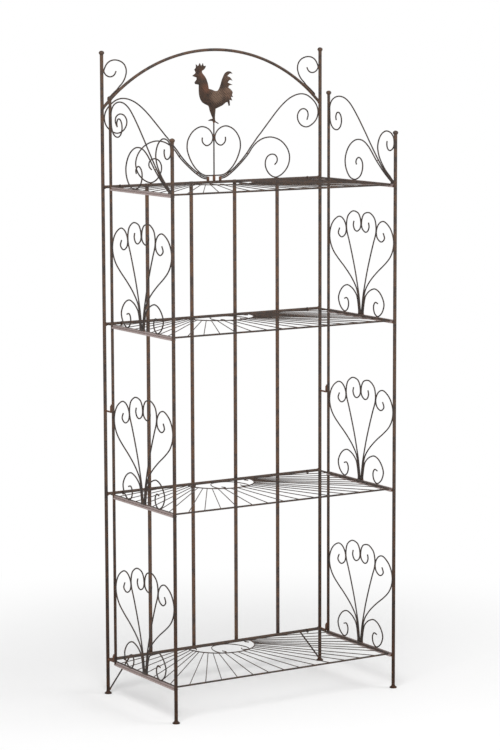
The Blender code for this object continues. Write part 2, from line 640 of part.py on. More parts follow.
def build_back_frame(group):
    """Everything that stands still."""
    post = standing_post(HEIGHT)
    rail = back_rail()
    bar = block((BAR_WIDTH, BAR_THICKNESS, SHELF_HEIGHTS[0] - SHELF_HEIGHTS[-1] + 2 * RAIL_RADIUS))
    pin = hook()
    for side, hand in HANDS.items():
        placed(group, f"back_post_{side}", post, "post", (hand * SIDE, BACK, 0))
        placed(group, f"brace_{side}", brace(hand), "scroll", (0, BACK, 0))
        crest = (0, BACK, TOP_RAIL_TOP)
        placed(group, f"s_scroll_{side}", s_scroll(hand), "scroll", crest)
        placed(group, f"inner_scroll_{side}", back_scroll(INNER_SCROLL_SHARES, hand), "scroll", crest)
        arch_foot = (0, BACK, ARCH_TOP - ARCH_RISE)
        placed(group, f"corner_scroll_{side}", corner_scroll(hand), "scroll", arch_foot)
        for level, share in HOOK_SHARES.items():
            place = (hand * SIDE, HINGE_PLACE, share * HEIGHT)
            placed(group, f"hook_{side}_{level}", pin, "fitting", place)
    placed(group, "arch", arch(), "rail", (0, BACK, ARCH_TOP - ARCH_BEND))
    for number, height in enumerate(SHELF_HEIGHTS, start=1):
        placed(group, f"back_rail_{number}", rail, "rail", (0, BACK, height))
    middle = (SHELF_HEIGHTS[0] + SHELF_HEIGHTS[-1]) / 2
    behind = BACK + RAIL_RADIUS + GAP + BAR_THICKNESS / 2
    for number in range(BAR_COUNT):
        across = (number - (BAR_COUNT - 1) / 2) * BAR_PITCH_SHARE * WIDTH
        placed(group, f"vertical_bar_{number + 1}", bar, "bar", (across, behind, middle))
    placed(group, "heart_scroll", heart(), "scroll", (0, BACK, TOP_RAIL_TOP))
    perch = TOP_RAIL_TOP + PERCH_SHARE * CREST
    foot = TOP_RAIL_TOP + HEART_SHARES[0][-1] * CREST + SEAT
    rod = wire([(0, 0, foot), (0, 0, perch - GAP)], ROD_RADIUS, HEXAGON)
    placed(group, "rooster_rod", rod, "scroll", (0, BACK, 0))
    placed(group, "rooster", rooster(), "rooster", (0, BACK, perch))


def build_side_frames(group):
    """The two frames that swing outwards on the back posts' pins."""
    front = standing_post(FRONT_POST_SHARE * HEIGHT)
    rear = rear_post(SHELF_HEIGHTS[-1] - CROSSBAR_DROP - CROSSBAR_THICKNESS)
    ball = rear_ball()
    crossbar = block((CROSSBAR_WIDTH, PANEL_DEPTH - 2 * GAP, CROSSBAR_THICKNESS))
    tube = sleeve()
    panel = fan()
    crown = top_scrolls()
    for side, hand in HANDS.items():
        across = hand * SIDE
        hinge = hinge_at(group, f"{side}_side_hinge", (across, HINGE_PLACE, 0))
        placed(group, f"{side}_front_post", front, "post", (across, -BACK, 0), hinge)
        placed(group, f"{side}_rear_post", rear, "post", (across, REAR_POST_PLACE, 0), hinge)
        placed(group, f"{side}_rear_ball", ball, "post", (across, REAR_POST_PLACE, 0), hinge)
        inner = hand * (SIDE - CROSSBAR_INSET)
        for number, height in enumerate(SHELF_HEIGHTS, start=1):
            top = height - CROSSBAR_DROP
            middle = (inner, PANEL_MIDDLE, top - CROSSBAR_THICKNESS / 2)
            placed(group, f"{side}_crossbar_{number}", crossbar, "bar", middle, hinge)
            ground = top + GAP + STRIP_HEIGHT - STRIP_BITE
            if number == 1:
                placed(group, f"{side}_top_scrolls", crown, "scroll", (across, PANEL_FRONT, ground), hinge)
            else:
                placed(group, f"{side}_fan_{number}", panel, "scroll", (across, PANEL_MIDDLE, ground), hinge)
        for level, share in HOOK_SHARES.items():
            bottom = (across, HINGE_PLACE, share * HEIGHT + PIN_RADIUS + GAP)
            placed(group, f"{side}_sleeve_{level}", tube, "fitting", bottom, hinge)


def build_shelves(group):
    """The four shelves, each hung on its rear wire's axis."""
    frame = shelf_frame()
    rays = sunburst()
    for number, height in enumerate(SHELF_HEIGHTS, start=1):
        place = (0, SHELF_HINGE_PLACE, height)
        hinge = hinge_at(group, f"shelf_{number}_hinge", place)
        placed(group, f"shelf_{number}_frame", frame, "shelf", place, hinge)
        placed(group, f"shelf_{number}_sunburst", rays, "shelf", place, hinge)


def main():
    """Build the whole etagere in an empty scene."""
    for item in list(bpy.data.objects):
        bpy.data.objects.remove(item)
    group = bpy.data.collections.new(NAME)
    bpy.context.scene.collection.children.link(group)
    build_back_frame(group)
    build_side_frames(group)
    build_shelves(group)


main()
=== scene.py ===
"""Dresses the folding garden etagere in rusty iron and sets it in a plain studio.

Every piece is worked as a smith would work it: wires are bent along smooth routes, tubes are drawn
up from their flared feet to their balls, flat bars get softened edges, and weld beads sit where one
piece is joined to the next. Each piece stands for the plain solid whose name it bears.
Metres. The origin is on the floor under the middle, X points to the right and -Y to the front.
"""

import logging
import math
from contextlib import contextmanager
from dataclasses import dataclass, field
from enum import Enum
from typing import Iterable, Iterator, NamedTuple, Optional, Sequence, Union

import bpy
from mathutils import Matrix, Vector

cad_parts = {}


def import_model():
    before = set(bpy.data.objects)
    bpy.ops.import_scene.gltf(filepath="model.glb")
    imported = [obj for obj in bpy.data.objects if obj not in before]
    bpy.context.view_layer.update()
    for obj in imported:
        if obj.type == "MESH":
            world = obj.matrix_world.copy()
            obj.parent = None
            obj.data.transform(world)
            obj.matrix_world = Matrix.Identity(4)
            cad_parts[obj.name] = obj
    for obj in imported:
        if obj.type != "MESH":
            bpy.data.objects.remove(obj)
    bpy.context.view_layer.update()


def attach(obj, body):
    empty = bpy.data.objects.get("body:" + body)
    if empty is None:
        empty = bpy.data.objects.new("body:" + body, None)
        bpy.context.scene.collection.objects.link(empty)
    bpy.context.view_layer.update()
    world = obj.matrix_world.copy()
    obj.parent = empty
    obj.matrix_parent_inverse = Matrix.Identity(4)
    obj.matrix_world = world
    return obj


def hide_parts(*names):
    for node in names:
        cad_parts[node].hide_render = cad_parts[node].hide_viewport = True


LOG = logging.getLogger("etagere")
MM = 0.001
MERGE = 0.00001
QUARTER = math.pi / 2
SMOOTH_ANGLE = math.radians(42)
SHARP_ANGLE = math.radians(60)
POINTED_ANGLE = math.radians(62)
WHITE = (1.0, 1.0, 1.0, 1.0)

Row = tuple[float, ...]
Span = tuple[float, float]
Colour = tuple[float, float, float]
Place = Sequence[float]
Bead = tuple[Place, float]
Item = bpy.types.Object
Socket = bpy.types.NodeSocket
Feed = Union[Socket, float, Row]
Feeds = dict[Union[str, int], Feed]

# Layers of noise in every finish: how many times finer than a rust patch, octaves and distortion.
NOISE_LAYERS: tuple[Row, ...] = ((1, 6.0, 0.6), (9, 4.0, 0.0), (4, 2.0, 1.2))
NOISE_ROUGHNESS = 0.62
WAVE_PITCH = math.pi / 10  # scale of the scratches' waves times their pitch

# Sides of a wire whose bevel has no steps of its own, and steps along the arcs.
PLAIN_SIDES = 4
ARCH_STEPS = 14
EYE_STEPS = 12
PIN_STEPS = 5
CORNER_STEPS = 6
RING_STEPS = 8
# A foot's flare, as shares of how far it stands out and of its height, and the rings of a ball.
FLARE: tuple[Span, ...] = (
    (0.93, 0), (1, 0.06), (1, 0.24), (0.86, 0.36), (0.5, 0.48), (0.25, 0.62), (0.08, 0.82), (0, 1)
)
BALL_ANGLES = (-50, -25, 0, 22, 42, 60, 76, 88)

# Weld beads in millimetres. Each bead's number in its piece decides how its lump is turned.
LUMPINESS = 0.16 * MM
BEAD_TURNS = (1.7, 2.3, 0.9)
ARCH_BEAD: Row = (3.4, 3.2)  # down, radius
RAIL_BEADS: tuple[Row, ...] = (  # across, behind, up, radius
    (300, -4.6, 0.6, 2.1), (342.85, -1.6, -2.6, 2.8), (342.85, 1.2, 2.6, 2.6)
)
BAR_BEAD: Row = (3.6, 2.0)  # behind, radius
CORNER_BEAD: Row = (1.4, 2.4)  # down, radius
POST_BEADS: tuple[Row, ...] = ((200, 1, 2.2), (342.65, 178, 2.3), (342.65, 304, 2.3))  # across, up, radius
SCROLL_BEADS: tuple[Row, ...] = ((54, 22, 2.2), (108, 71.5, 2.2))  # across, up, radius
HEART_BEADS: tuple[Row, ...] = (  # across, behind, up, radius
    (-1.6, -0.6, 112, 1.9), (1.6, -0.6, 112, 1.9), (-1.6, -0.6, 124, 1.9), (1.6, -0.6, 124, 1.9)
)
ROOSTER_BEAD: Row = (-0.5, 0.5, 2.4)  # behind, up, radius
BRACE_BEADS: tuple[Row, ...] = ((-0.5, 2.8), (0.5, 2.5))  # up, radius
HOOK_BEAD: Row = (-5.05, 3.1)  # behind, radius
CROSSBAR_BEAD_PLACE = 0.4 * MM  # from the posts
CROSSBAR_BEADS: tuple[Row, ...] = ((4, 0, 2.6), (0, 3, 2.4))  # inwards, up, radius
FAN_BEADS: tuple[Row, ...] = (  # along, up, radius
    (-12, 1.2, 2.2), (-80, 0.6, 2.1), (-158.3, 208, 2.1), (12, 1.2, 2.2), (80, 0.6, 2.1),
    (158.3, 208, 2.1), (0, 254, 1.9),
)
CROWN_BEADS: tuple[Row, ...] = (  # along, up, radius
    (15, 1.4, 2.3), (78, 60, 2.2), (192, 0.8, 2.1), (316.6, 180, 2.1), (0.6, 109.3, 2.1)
)
SLEEVE_BEADS: tuple[Row, ...] = ((4, 1.7), (12, 1.7))  # up, radius

# Routes of the scrolls as read in their own plane, in millimetres across and up. Where a wire
# touches its neighbour, two more numbers count how many wire radii it stands off across and up.
S_SCROLL: tuple[Row, ...] = (
    (20, 10), (30, 11.1), (41, 15.7), (51, 22.8), (63, 31), (75, 41), (88, 52.5), (106, 72), (118, 87.5),
    (130, 101.5), (142.5, 116.5), (153, 127.5), (167.5, 144), (180, 158), (192.5, 172), (205.5, 186),
    (220, 200), (238, 214.3), (253, 223), (269.4, 229), (286, 231), (302, 228), (317, 219.5),
    (330, 207.5), (338, 195), (343.25, 178, -1, 0), (336, 160), (322, 146), (304, 138.5), (286, 143.5),
    (275, 157), (273, 172), (281, 185.5), (294, 189.5), (305, 183), (308, 171), (304, 158),
)
INNER_SCROLL: tuple[Row, ...] = (
    (21.5, 5.4), (31.2, 6.9), (43.3, 11.9), (65.7, 27.5), (91, 49.3), (110.3, 68.8), (124, 87),
    (139.5, 101), (155.6, 109.5), (170, 113), (186, 113.6), (206, 108.5), (222, 99.5), (236, 85),
    (243.5, 70.8), (246.5, 55), (243.5, 38), (236, 24), (224, 12), (212, 5), (200, 0, 0, 1), (186, 6.5),
    (174, 18), (167, 33), (167, 48), (174, 60.5), (186, 66), (198, 64), (205, 55.5), (204.5, 45),
    (197, 36.5),
)
CORNER_SCROLL: tuple[Row, ...] = (
    (294, 59.4), (286, 67.4), (280, 75.9), (275.5, 85.9), (273, 96.9), (274.5, 108.9), (281, 119.4),
    (292, 126.4), (307, 129.7), (321, 127.4), (332, 119.9), (339, 108.4), (343.25, 99.9, -1, 0),
    (337, 91.9), (329, 86.4), (319, 85.4), (310, 89.9), (304, 99.9),
)
HEART: tuple[Row, ...] = (
    (0, 14.3), (20, 14.3), (30, 15.7), (41, 20.6), (51, 28.2), (60, 37), (68, 47.5), (75, 59.5),
    (81, 73.5), (84.7, 86), (85.3, 97), (83.5, 110), (78, 122), (69, 134), (56, 143.5), (40, 148.6),
    (25, 146), (12, 137.5), (0, 124, 2.1, 0), (0, 112, 2.1, 0), (10, 102), (22, 96.3), (32, 101),
    (37, 109), (37, 119),
)
FAN_INNER: tuple[Row, ...] = (
    (0, 0, 1, 1), (9.5, 50), (17.3, 80), (29, 120), (45, 165), (60, 203), (70, 226), (72.5, 245),
    (67, 266.5), (55, 278), (38, 284.5), (15, 280), (5, 268), (0, 256, 1, 0), (0, 246, 1, 0),
    (6.7, 236.7), (20, 229.5), (31.7, 233), (38.3, 245), (35.7, 257),
)
FAN_OUTER: tuple[Row, ...] = (
    (0, 0, 3, 1), (14.2, 50), (20, 66.7), (28.5, 80), (49, 101), (80, 125), (113, 147), (138, 167),
    (151.7, 187), (158.6, 208, -1, 0), (153, 228), (141, 247), (123, 260), (106.7, 265), (90, 260),
    (77.7, 247), (73.5, 232), (78, 218), (91.7, 209), (103, 209.5), (113, 219), (106.7, 233),
)
FAN_SPIRAL: tuple[Row, ...] = (
    (0, 0, 5, 1), (19.5, 48), (34, 64), (50, 72.7), (68, 76.7), (88, 70), (104, 55), (111.7, 37),
    (105, 18), (93, 6.7), (80, 0, 0, 1), (67.7, 8), (61.7, 20), (62.7, 32), (70, 40), (82, 37.5),
)
TOP_SCROLL: tuple[Row, ...] = (
    (10.2, 6.3), (25.2, 16.8), (39.2, 26.8), (52.2, 37.8), (64.2, 48.8), (74.2, 59.3), (82.2, 67.3),
    (90.2, 76.3), (100.2, 87.3), (110.2, 98.8), (120.2, 110.3), (135.2, 128.3), (150.2, 145.3),
    (165.2, 162.3), (180.2, 178.3), (195.2, 193.3), (212.2, 208.3), (230.2, 219.3), (250.2, 226.3),
    (272.2, 227.8), (292.2, 223.3), (307.2, 213.8), (315.4, 199.3), (317.25, 180.3, -1, 0),
    (314.2, 161.3), (307.2, 146.3), (294.2, 136.8), (278.2, 135.3), (264.2, 142.8), (257.2, 157.3),
    (259.2, 172.3), (268.2, 182.3), (279.2, 182.3), (285.2, 172.3), (283.2, 161.3),
)
TOP_HOOK: tuple[Row, ...] = (
    (6.2, 7.3), (22.2, 20.8), (35.2, 29.8), (46.2, 38.8), (57.2, 50.3), (66.2, 61.3), (72.8, 71.3),
    (77.2, 82.3), (79.8, 95.3), (76.8, 110.3), (69.8, 123.3), (58.2, 134.3), (42.2, 140.8), (27.2, 140.3),
    (14.2, 135.3), (4.2, 124.3), (0, 109.3, 1, 0), (5.2, 98.3), (16.2, 90.3), (26.2, 89.8), (33.2, 95.3),
    (36.2, 104.3), (35.2, 114.3),
)
TOP_SPIRAL: tuple[Row, ...] = (
    (14.2, 5.3), (32.2, 16.8), (45.2, 25.8), (60.2, 37.3), (75.2, 49.8), (86.2, 59.3), (95.2, 68.3),
    (105.2, 78.3), (115.2, 87.8), (125.2, 96.3), (140.2, 105.8), (155.2, 111.3), (170.2, 112.8),
    (185.2, 111.3), (202.2, 104.8), (218.2, 93.3), (231.2, 76.3), (238.2, 56.3), (236.2, 36.3),
    (226.2, 18.3), (212.2, 6.3), (192.2, 0, 0, 1), (176.2, 5.8), (163.2, 13.8), (154.2, 28.3),
    (152.2, 45.3), (158.2, 57.3), (169.2, 63.3), (179.2, 60.3), (185.2, 51.3), (182.2, 43.3),
)
# These two lie flat in the shelf: across, and backwards from the middle of its half ring.
ROSETTE_CURL: tuple[Row, ...] = ((100, -10), (98.5, -1), (88, 1), (80, -8), (86, -19))
ROSETTE_ARCH: tuple[Row, ...] = (
    (0, -2), (25, -8), (42, -30), (50, -65), (44, -89), (27, -83), (31, -68)
)
ROOSTER: tuple[Row, ...] = (
    (-67.7, 128.5), (-58.2, 135), (-57.2, 138), (-61.2, 145), (-56.2, 151), (-56.2, 160), (-49.2, 154),
    (-43.7, 163), (-39.2, 154), (-34.2, 162), (-31.2, 154.5), (-24.2, 155), (-28.2, 147), (-37.2, 141),
    (-36.2, 136), (-29.2, 128), (-23.2, 119), (-19.2, 109), (-16.7, 99), (-15.7, 92.5), (-6.2, 90),
    (1.8, 87), (8.8, 86), (13.8, 87.5), (17.8, 93), (21.8, 102), (25.8, 114), (29.8, 123), (34.8, 132),
    (40.8, 137), (47.8, 139), (54.8, 137.5), (60.8, 132), (51.8, 132.5), (43.8, 126), (52.8, 122),
    (60.3, 113), (51.8, 115), (44.8, 108.5), (60.8, 101.5), (49.8, 100), (46.8, 94.5), (54.8, 89),
    (60.8, 81), (58.8, 74), (62.3, 68), (54.8, 69), (59.3, 58.5), (50.8, 61), (51.8, 46), (48.3, 44),
    (44.8, 55), (37.8, 53.5), (29.8, 47.5), (19.8, 43), (5.8, 37.5), (4.3, 6), (15.8, -2), (13.8, -4.2),
    (3.3, 1), (2, 0), (-2, 0), (-4.2, 4), (-18.7, 5), (-12.2, 9), (-3.2, 11), (-9.2, 24), (-13.2, 34),
    (-16.7, 45), (-28.2, 51), (-36.2, 56), (-42.2, 64), (-45.7, 74), (-47.2, 86), (-47.2, 104),
    (-58.7, 106), (-60.2, 111), (-54.2, 118), (-54.2, 124), (-60.2, 125.5),
)


class Hand(Enum):
    """Side of the etagere, as the sign of X."""

    LEFT = -1
    RIGHT = 1

    @property
    def word(self) -> str:
        """The side's name as the solids write it."""
        return self.name.lower()


class Iron(Enum):
    """Kinds of iron, each with the name of its material slot."""

    TUBE = "tube_iron"
    RAIL = "rail_iron"
    BAR = "bar_iron"
    SCROLL = "scroll_wire"
    SHELF = "shelf_wire"
    SHEET = "sheet_iron"
    FITTING = "fitting_iron"


class Nodes:
    """Node tree of a material or a world, with short ways to add to it."""

    def __init__(self, owner: Union[bpy.types.Material, bpy.types.World]) -> None:
        """Open the owner's node tree."""
        owner.use_nodes = True
        self.tree = owner.node_tree

    def feed(self, node: bpy.types.Node, inputs: Feeds) -> None:
        """Link or set a node's inputs.

        Args:
            node: node to feed.
            inputs: for each input another node's output or a plain value.
        """
        for name, value in inputs.items():
            if isinstance(value, Socket):
                self.tree.links.new(value, node.inputs[name])
            else:
                node.inputs[name].default_value = value

    def add(self, kind: str, output: str, inputs: Optional[Feeds] = None, **settings: object) -> Socket:
        """Add a shader node.

        Args:
            kind: kind of node.
            output: name of the output to hand back.
            inputs: what to feed it with.
            settings: its own settings, which decide what inputs it has.

        Returns:
            The output.
        """
        node = self.tree.nodes.new(f"ShaderNode{kind}")
        for name, value in settings.items():
            setattr(node, name, value)
        self.feed(node, inputs or {})
        return node.outputs[output]

    def calculated(self, operation: str, *values: Feed, clamped: bool = False) -> Socket:
        """Result of an operation on one value or more."""
        return self.add("Math", "Value", dict(enumerate(values)), operation=operation, use_clamp=clamped)

    def ranged(self, value: Socket, source: Span, target: Span, smooth: bool = False) -> Socket:
        """The value carried from one range over to another, and no further."""
        inputs = {"Value": value, "From Min": source[0], "From Max": source[1]}
        inputs |= {"To Min": target[0], "To Max": target[1]}
        kind = "SMOOTHSTEP" if smooth else "LINEAR"
        return self.add("MapRange", "Result", inputs, interpolation_type=kind)

    def mixed(self, factor: Socket, base: Socket, over: Colour, blend: str = "MIX") -> Socket:
        """A colour with another one laid over it."""
        inputs = {"Factor": factor, "A": base, "B": (*over, 1.0)}
        return self.add("Mix", "Result", inputs, data_type="RGBA", blend_type=blend)

    def seen(self) -> Socket:
        """One for rays from the camera and for those that gloss or glass sends on, zero for others."""
        path = self.tree.nodes.new("ShaderNodeLightPath").outputs
        mirrored = self.calculated("MAXIMUM", path["Is Camera Ray"], path["Is Glossy Ray"])
        return self.calculated("MAXIMUM", mirrored, path["Is Transmission Ray"])


@dataclass(frozen=True)
class RustyIron:
    """Dark brown patina over rough iron, broken by rust.

    Args:
        patina: colour of the dark coat.
        rust: colour where rust has spread.
        bloom: colour of the small fresh specks.
        rust_share: how far the rust has spread, from 0 to 1.
        patch: size of the rust patches, in metres.
        roughness: lowest and highest roughness.
        metallic: how much bare metal shows.
        specular: how much a coated place mirrors.
        relief: depth of the surface's lumps, in metres.
        relief_strength: how much the lumps turn the light, from 0 to 1.
        grain_share: how much of the mottling is fine grain.
        mottling: range that most of the mottling lies in.
        specks: where the specks start and where they are full, in their own noise.
        speck_share: how far the specks cover the coat.
        edges: where the rust's edge lies without rust, and how far full rust moves it.
        steps: places of the deepest patina, the patina and the rust along the mottling, from the edge.
        deepest: how much of its colour the deepest patina keeps.
    """

    patina: Colour
    rust: Colour
    bloom: Colour
    rust_share: float = 0.45
    patch: float = 0.020
    roughness: Span = (0.42, 0.78)
    metallic: float = 0.35
    specular: float = 0.35
    relief: float = 0.0003
    relief_strength: float = 0.7
    grain_share: float = 0.36
    mottling: Span = (0.32, 0.68)
    specks: Span = (0.60, 0.72)
    speck_share: float = 0.55
    edges: Span = (0.66, 0.32)
    steps: Row = (-0.22, -0.07, 0.03)
    deepest: float = 0.62

    def material(self, name: str) -> bpy.types.Material:
        """Build the finish as shader nodes on the object's own coordinates.

        Args:
            name: name of the material.

        Returns:
            The new material.
        """
        paint = bpy.data.materials.new(name)
        nodes = Nodes(paint)
        place = nodes.add("TexCoord", "Object")
        patches, grain, specks = (self._noise(nodes, place, *layer) for layer in NOISE_LAYERS)
        mottle = nodes.add("Mix", "Result", {"Factor": self.grain_share, "A": patches, "B": grain})
        coat = self._worked(nodes, place, self._ramp(nodes, mottle))
        speckled = nodes.ranged(specks, self.specks, (0.0, self.speck_share))
        shader = {
            "Base Color": nodes.mixed(speckled, coat, self.bloom),
            "Metallic": self.metallic,
            "Specular IOR Level": self.specular,
            "Roughness": nodes.ranged(mottle, self.mottling, self.roughness),
            "Normal": self._relieved(nodes, patches, grain),
        }
        nodes.feed(nodes.tree.nodes["Principled BSDF"], shader)
        return paint

    def _noise(self, nodes: Nodes, place: Socket, finer: float, detail: float, distortion: float) -> Socket:
        """Noise with features as large as a rust patch, or so many times finer."""
        inputs = {"Vector": place, "Scale": finer / self.patch, "Detail": detail}
        inputs |= {"Roughness": NOISE_ROUGHNESS, "Distortion": distortion}
        return nodes.add("TexNoise", "Fac", inputs)

    def _ramp(self, nodes: Nodes, mottle: Socket) -> Socket:
        """Colour from the deepest patina to the rust along the mottling."""
        colour = nodes.add("ValToRGB", "Color", {"Fac": mottle})
        elements = colour.node.color_ramp.elements
        edge = self.edges[0] - self.edges[1] * self.rust_share
        dark = tuple(self.deepest * value for value in self.patina)
        elements.new(1.0)
        for element, step, shade in zip(elements, self.steps, (dark, self.patina, self.rust)):
            element.position = edge + step
            element.color = (*shade, 1.0)
        return colour

    def _worked(self, nodes: Nodes, place: Socket, coat: Socket) -> Socket:
        """The coat with whatever is worked into it, here nothing.

        Args:
            nodes: nodes that take the work.
            place: coordinates to read.
            coat: colour of the plain coat.

        Returns:
            The colour.
        """
        return coat

    def _relieved(self, nodes: Nodes, lumps: Socket, grain: Socket) -> Socket:
        """Normal of a surface raised by lumps and, three times as fine, by grain."""
        coarse = {"Strength": self.relief_strength, "Distance": self.relief, "Height": lumps}
        normal = nodes.add("Bump", "Normal", coarse)
        fine = coarse | {"Distance": self.relief / 3, "Height": grain, "Normal": normal}
        return nodes.add("Bump", "Normal", fine)


class Rubbed(NamedTuple):
    """Place where the sheet is rubbed paler: where it is, how far it reaches and its look."""

    across: float
    up: float
    reach: Span
    strength: float
    broken: float
    colour: Colour


@dataclass(frozen=True)
class FeatheredIron(RustyIron):
    """Rusty sheet with feathers scratched into it, paler where they have been rubbed.

    Args:
        rubbed: the rubbed places.
        plane: where the sheet stands along Y.
        pitch: distance between two scratches, in metres.
        waviness: how much the scratches wave, and in how many octaves.
        cut: range of the scratches' profile between their edges and their bottom.
    """

    rubbed: tuple[Rubbed, ...] = ()
    plane: float = 0.185
    pitch: float = 0.0036
    waviness: Span = (5.0, 2.0)
    cut: Span = (0.25, 0.75)

    def _worked(self, nodes: Nodes, place: Socket, coat: Socket) -> Socket:
        """The coat with rubbed places that the scratches break up.

        Args:
            nodes: nodes that take the feathers.
            place: coordinates to read.
            coat: colour of the plain coat.

        Returns:
            The colour.
        """
        waves = {"Vector": place, "Scale": WAVE_PITCH / self.pitch}
        waves |= {"Distortion": self.waviness[0], "Detail": self.waviness[1]}
        scratches = nodes.add("TexWave", "Fac", waves, bands_direction="DIAGONAL")
        for spot in self.rubbed:
            ends = {0: place, 1: (spot.across, self.plane, spot.up)}
            distance = nodes.add("VectorMath", "Value", ends, operation="DISTANCE")
            strength = nodes.ranged(distance, spot.reach, (spot.strength, 0.0), smooth=True)
            lines = nodes.ranged(scratches, self.cut, (0.0, spot.broken))
            kept = nodes.calculated("SUBTRACT", strength, lines, clamped=True)
            coat = nodes.mixed(kept, coat, spot.colour)
        return coat


@dataclass(frozen=True)
class GroundShadedIron(RustyIron):
    """Rusty iron with painted shade, darker towards the ground where less light falls.

    Args:
        shade_from: height where the painted shade starts, in metres.
        painted_shade_tint: what its colour is multiplied by at the ground, as painted shade.
    """

    shade_from: float = 0.75
    painted_shade_tint: Colour = (0.40, 0.24, 0.12)

    def _worked(self, nodes: Nodes, place: Socket, coat: Socket) -> Socket:
        """The coat with painted shade, darker the nearer it is to the ground.

        Args:
            nodes: nodes that take the painted shade.
            place: coordinates to read.
            coat: colour of the plain coat.

        Returns:
            The colour.
        """
        height = nodes.add("SeparateXYZ", "Z", {"Vector": place})
        # Painted shade: the colour darkens towards the floor, standing in for the light falling from above.
        painted_shade = nodes.ranged(height, (self.shade_from, 0.0), (0.0, 1.0))
        return nodes.mixed(painted_shade, coat, self.painted_shade_tint, "MULTIPLY")


@dataclass(frozen=True)
class HighlightedIron(RustyIron):
    """Rusty iron that is worn pale at both sides of the etagere.

    Args:
        worn: colour of the painted highlight.
        worn_share: how far the painted highlight covers the coat, from 0 to 1.
        worn_from: where the painted highlight starts and where it is full, from the middle along X, in
            metres.
        levels: heights of the middles of the highlighted bands, or none if the painted highlight runs all
            the way up.
        band: half the height of a band, in metres.
    """

    worn: Colour = (0.42, 0.34, 0.325)
    worn_share: float = 0.85
    worn_from: Span = (0.30, 0.31)
    levels: Row = ()
    band: float = 0.0026

    def _worked(self, nodes: Nodes, place: Socket, coat: Socket) -> Socket:
        """The coat with a painted highlight, pale where it is far enough from the middle.

        Args:
            nodes: nodes that take the painted highlight.
            place: coordinates to read.
            coat: colour of the plain coat.

        Returns:
            The colour.
        """
        across = nodes.add("SeparateXYZ", "X", {"Vector": place})
        height = across.node.outputs["Z"]
        # Painted highlight: pale colour at the sides stands in for the sheen on the crossbars and strips.
        worn = nodes.ranged(nodes.calculated("ABSOLUTE", across), self.worn_from, (0.0, self.worn_share))
        bands = [nodes.calculated("COMPARE", height, level, self.band) for level in self.levels]
        if bands:
            inside = bands[0]
            for band in bands[1:]:
                inside = nodes.calculated("ADD", inside, band)
            worn = nodes.calculated("MULTIPLY", worn, inside)
        return nodes.mixed(worn, coat, self.worn)


FINISHES: dict[Iron, RustyIron] = {
    # The tubes carry painted shade towards the floor.
    Iron.TUBE: GroundShadedIron((0.044, 0.034, 0.030), (0.098, 0.058, 0.038), (0.190, 0.090, 0.045)),
    Iron.RAIL: RustyIron(
        (0.044, 0.033, 0.028), (0.098, 0.057, 0.038), (0.190, 0.090, 0.045), rust_share=0.48
    ),
    # Bars and scroll wires carry a painted highlight at the sides, for the sheen on crossbars and strips.
    Iron.BAR: HighlightedIron((0.068, 0.049, 0.042), (0.130, 0.072, 0.044), (0.210, 0.100, 0.050)),
    Iron.SCROLL: HighlightedIron(
        (0.038, 0.031, 0.028), (0.078, 0.050, 0.036), (0.140, 0.075, 0.044), rust_share=0.32, patch=0.012,
        worn_share=0.75, levels=(1.3931, 1.0231, 0.5581, 0.0950)
    ),
    Iron.SHELF: RustyIron(
        (0.040, 0.031, 0.027), (0.085, 0.052, 0.036), (0.150, 0.078, 0.044), rust_share=0.36, patch=0.012
    ),
    Iron.SHEET: FeatheredIron(
        (0.026, 0.017, 0.013), (0.055, 0.031, 0.020), (0.100, 0.054, 0.034), rust_share=0.48, patch=0.009,
        rubbed=(
            Rubbed(-0.024, 1.650, (0.004, 0.022), 0.80, 0.40, (0.140, 0.056, 0.031)),
            Rubbed(-0.034, 1.688, (0.004, 0.022), 0.80, 0.35, (0.130, 0.054, 0.032)),
            Rubbed(0.010, 1.628, (0.010, 0.032), 0.95, 0.55, (0.165, 0.106, 0.073)),
            Rubbed(0.046, 1.638, (0.006, 0.028), 0.90, 0.60, (0.160, 0.094, 0.062)),
            Rubbed(0.042, 1.676, (0.004, 0.022), 0.70, 0.55, (0.135, 0.076, 0.050)),
        ),
    ),
    Iron.FITTING: RustyIron(
        (0.060, 0.036, 0.027), (0.140, 0.064, 0.036), (0.220, 0.092, 0.045), rust_share=0.55, patch=0.008
    ),
}


def deselect_all() -> None:
    """Leave nothing selected."""
    bpy.ops.object.select_all(action="DESELECT")


def pick(*items: Item) -> None:
    """Select only these objects, with the first one active."""
    deselect_all()
    for item in items:
        item.select_set(True)
    bpy.context.view_layer.objects.active = items[0]


def discard(*items: Item) -> None:
    """Take pattern pieces away once they have been copied."""
    for item in items:
        bpy.data.objects.remove(item)


@contextmanager
def editing(item: Item) -> Iterator[None]:
    """Edit mode with the piece's whole mesh selected."""
    pick(item)
    bpy.ops.object.mode_set(mode="EDIT")
    bpy.ops.mesh.select_all(action="SELECT")
    yield
    bpy.ops.object.mode_set(mode="OBJECT")


def merge_doubles(item: Item) -> Item:
    """Weld the piece's seams and turn its faces outwards."""
    with editing(item):
        bpy.ops.mesh.remove_doubles(threshold=MERGE)
        bpy.ops.mesh.normals_make_consistent(inside=False)
    return item


def soften(item: Item, edge: float, segments: int = 2) -> Item:
    """Round the piece's sharp edges.

    Args:
        item: piece to soften.
        edge: width of the rounding.
        segments: faces across the rounding.

    Returns:
        The same piece.
    """
    pick(item)
    bevel = item.modifiers.new("Edge", "BEVEL")
    bevel.width = edge
    bevel.segments = segments
    bevel.limit_method = "ANGLE"
    bevel.angle_limit = SHARP_ANGLE
    bpy.ops.object.modifier_apply(modifier=bevel.name)
    return item


def moved(item: Item, shift: Place = (0, 0, 0)) -> Item:
    """Move the piece in its own mesh, which also applies how it stands.

    Args:
        item: piece to move.
        shift: way to move it.

    Returns:
        The same piece.
    """
    pick(item)
    item.location = Vector(item.location) + Vector(shift)
    bpy.ops.object.transform_apply(location=True, rotation=True, scale=True)
    return item


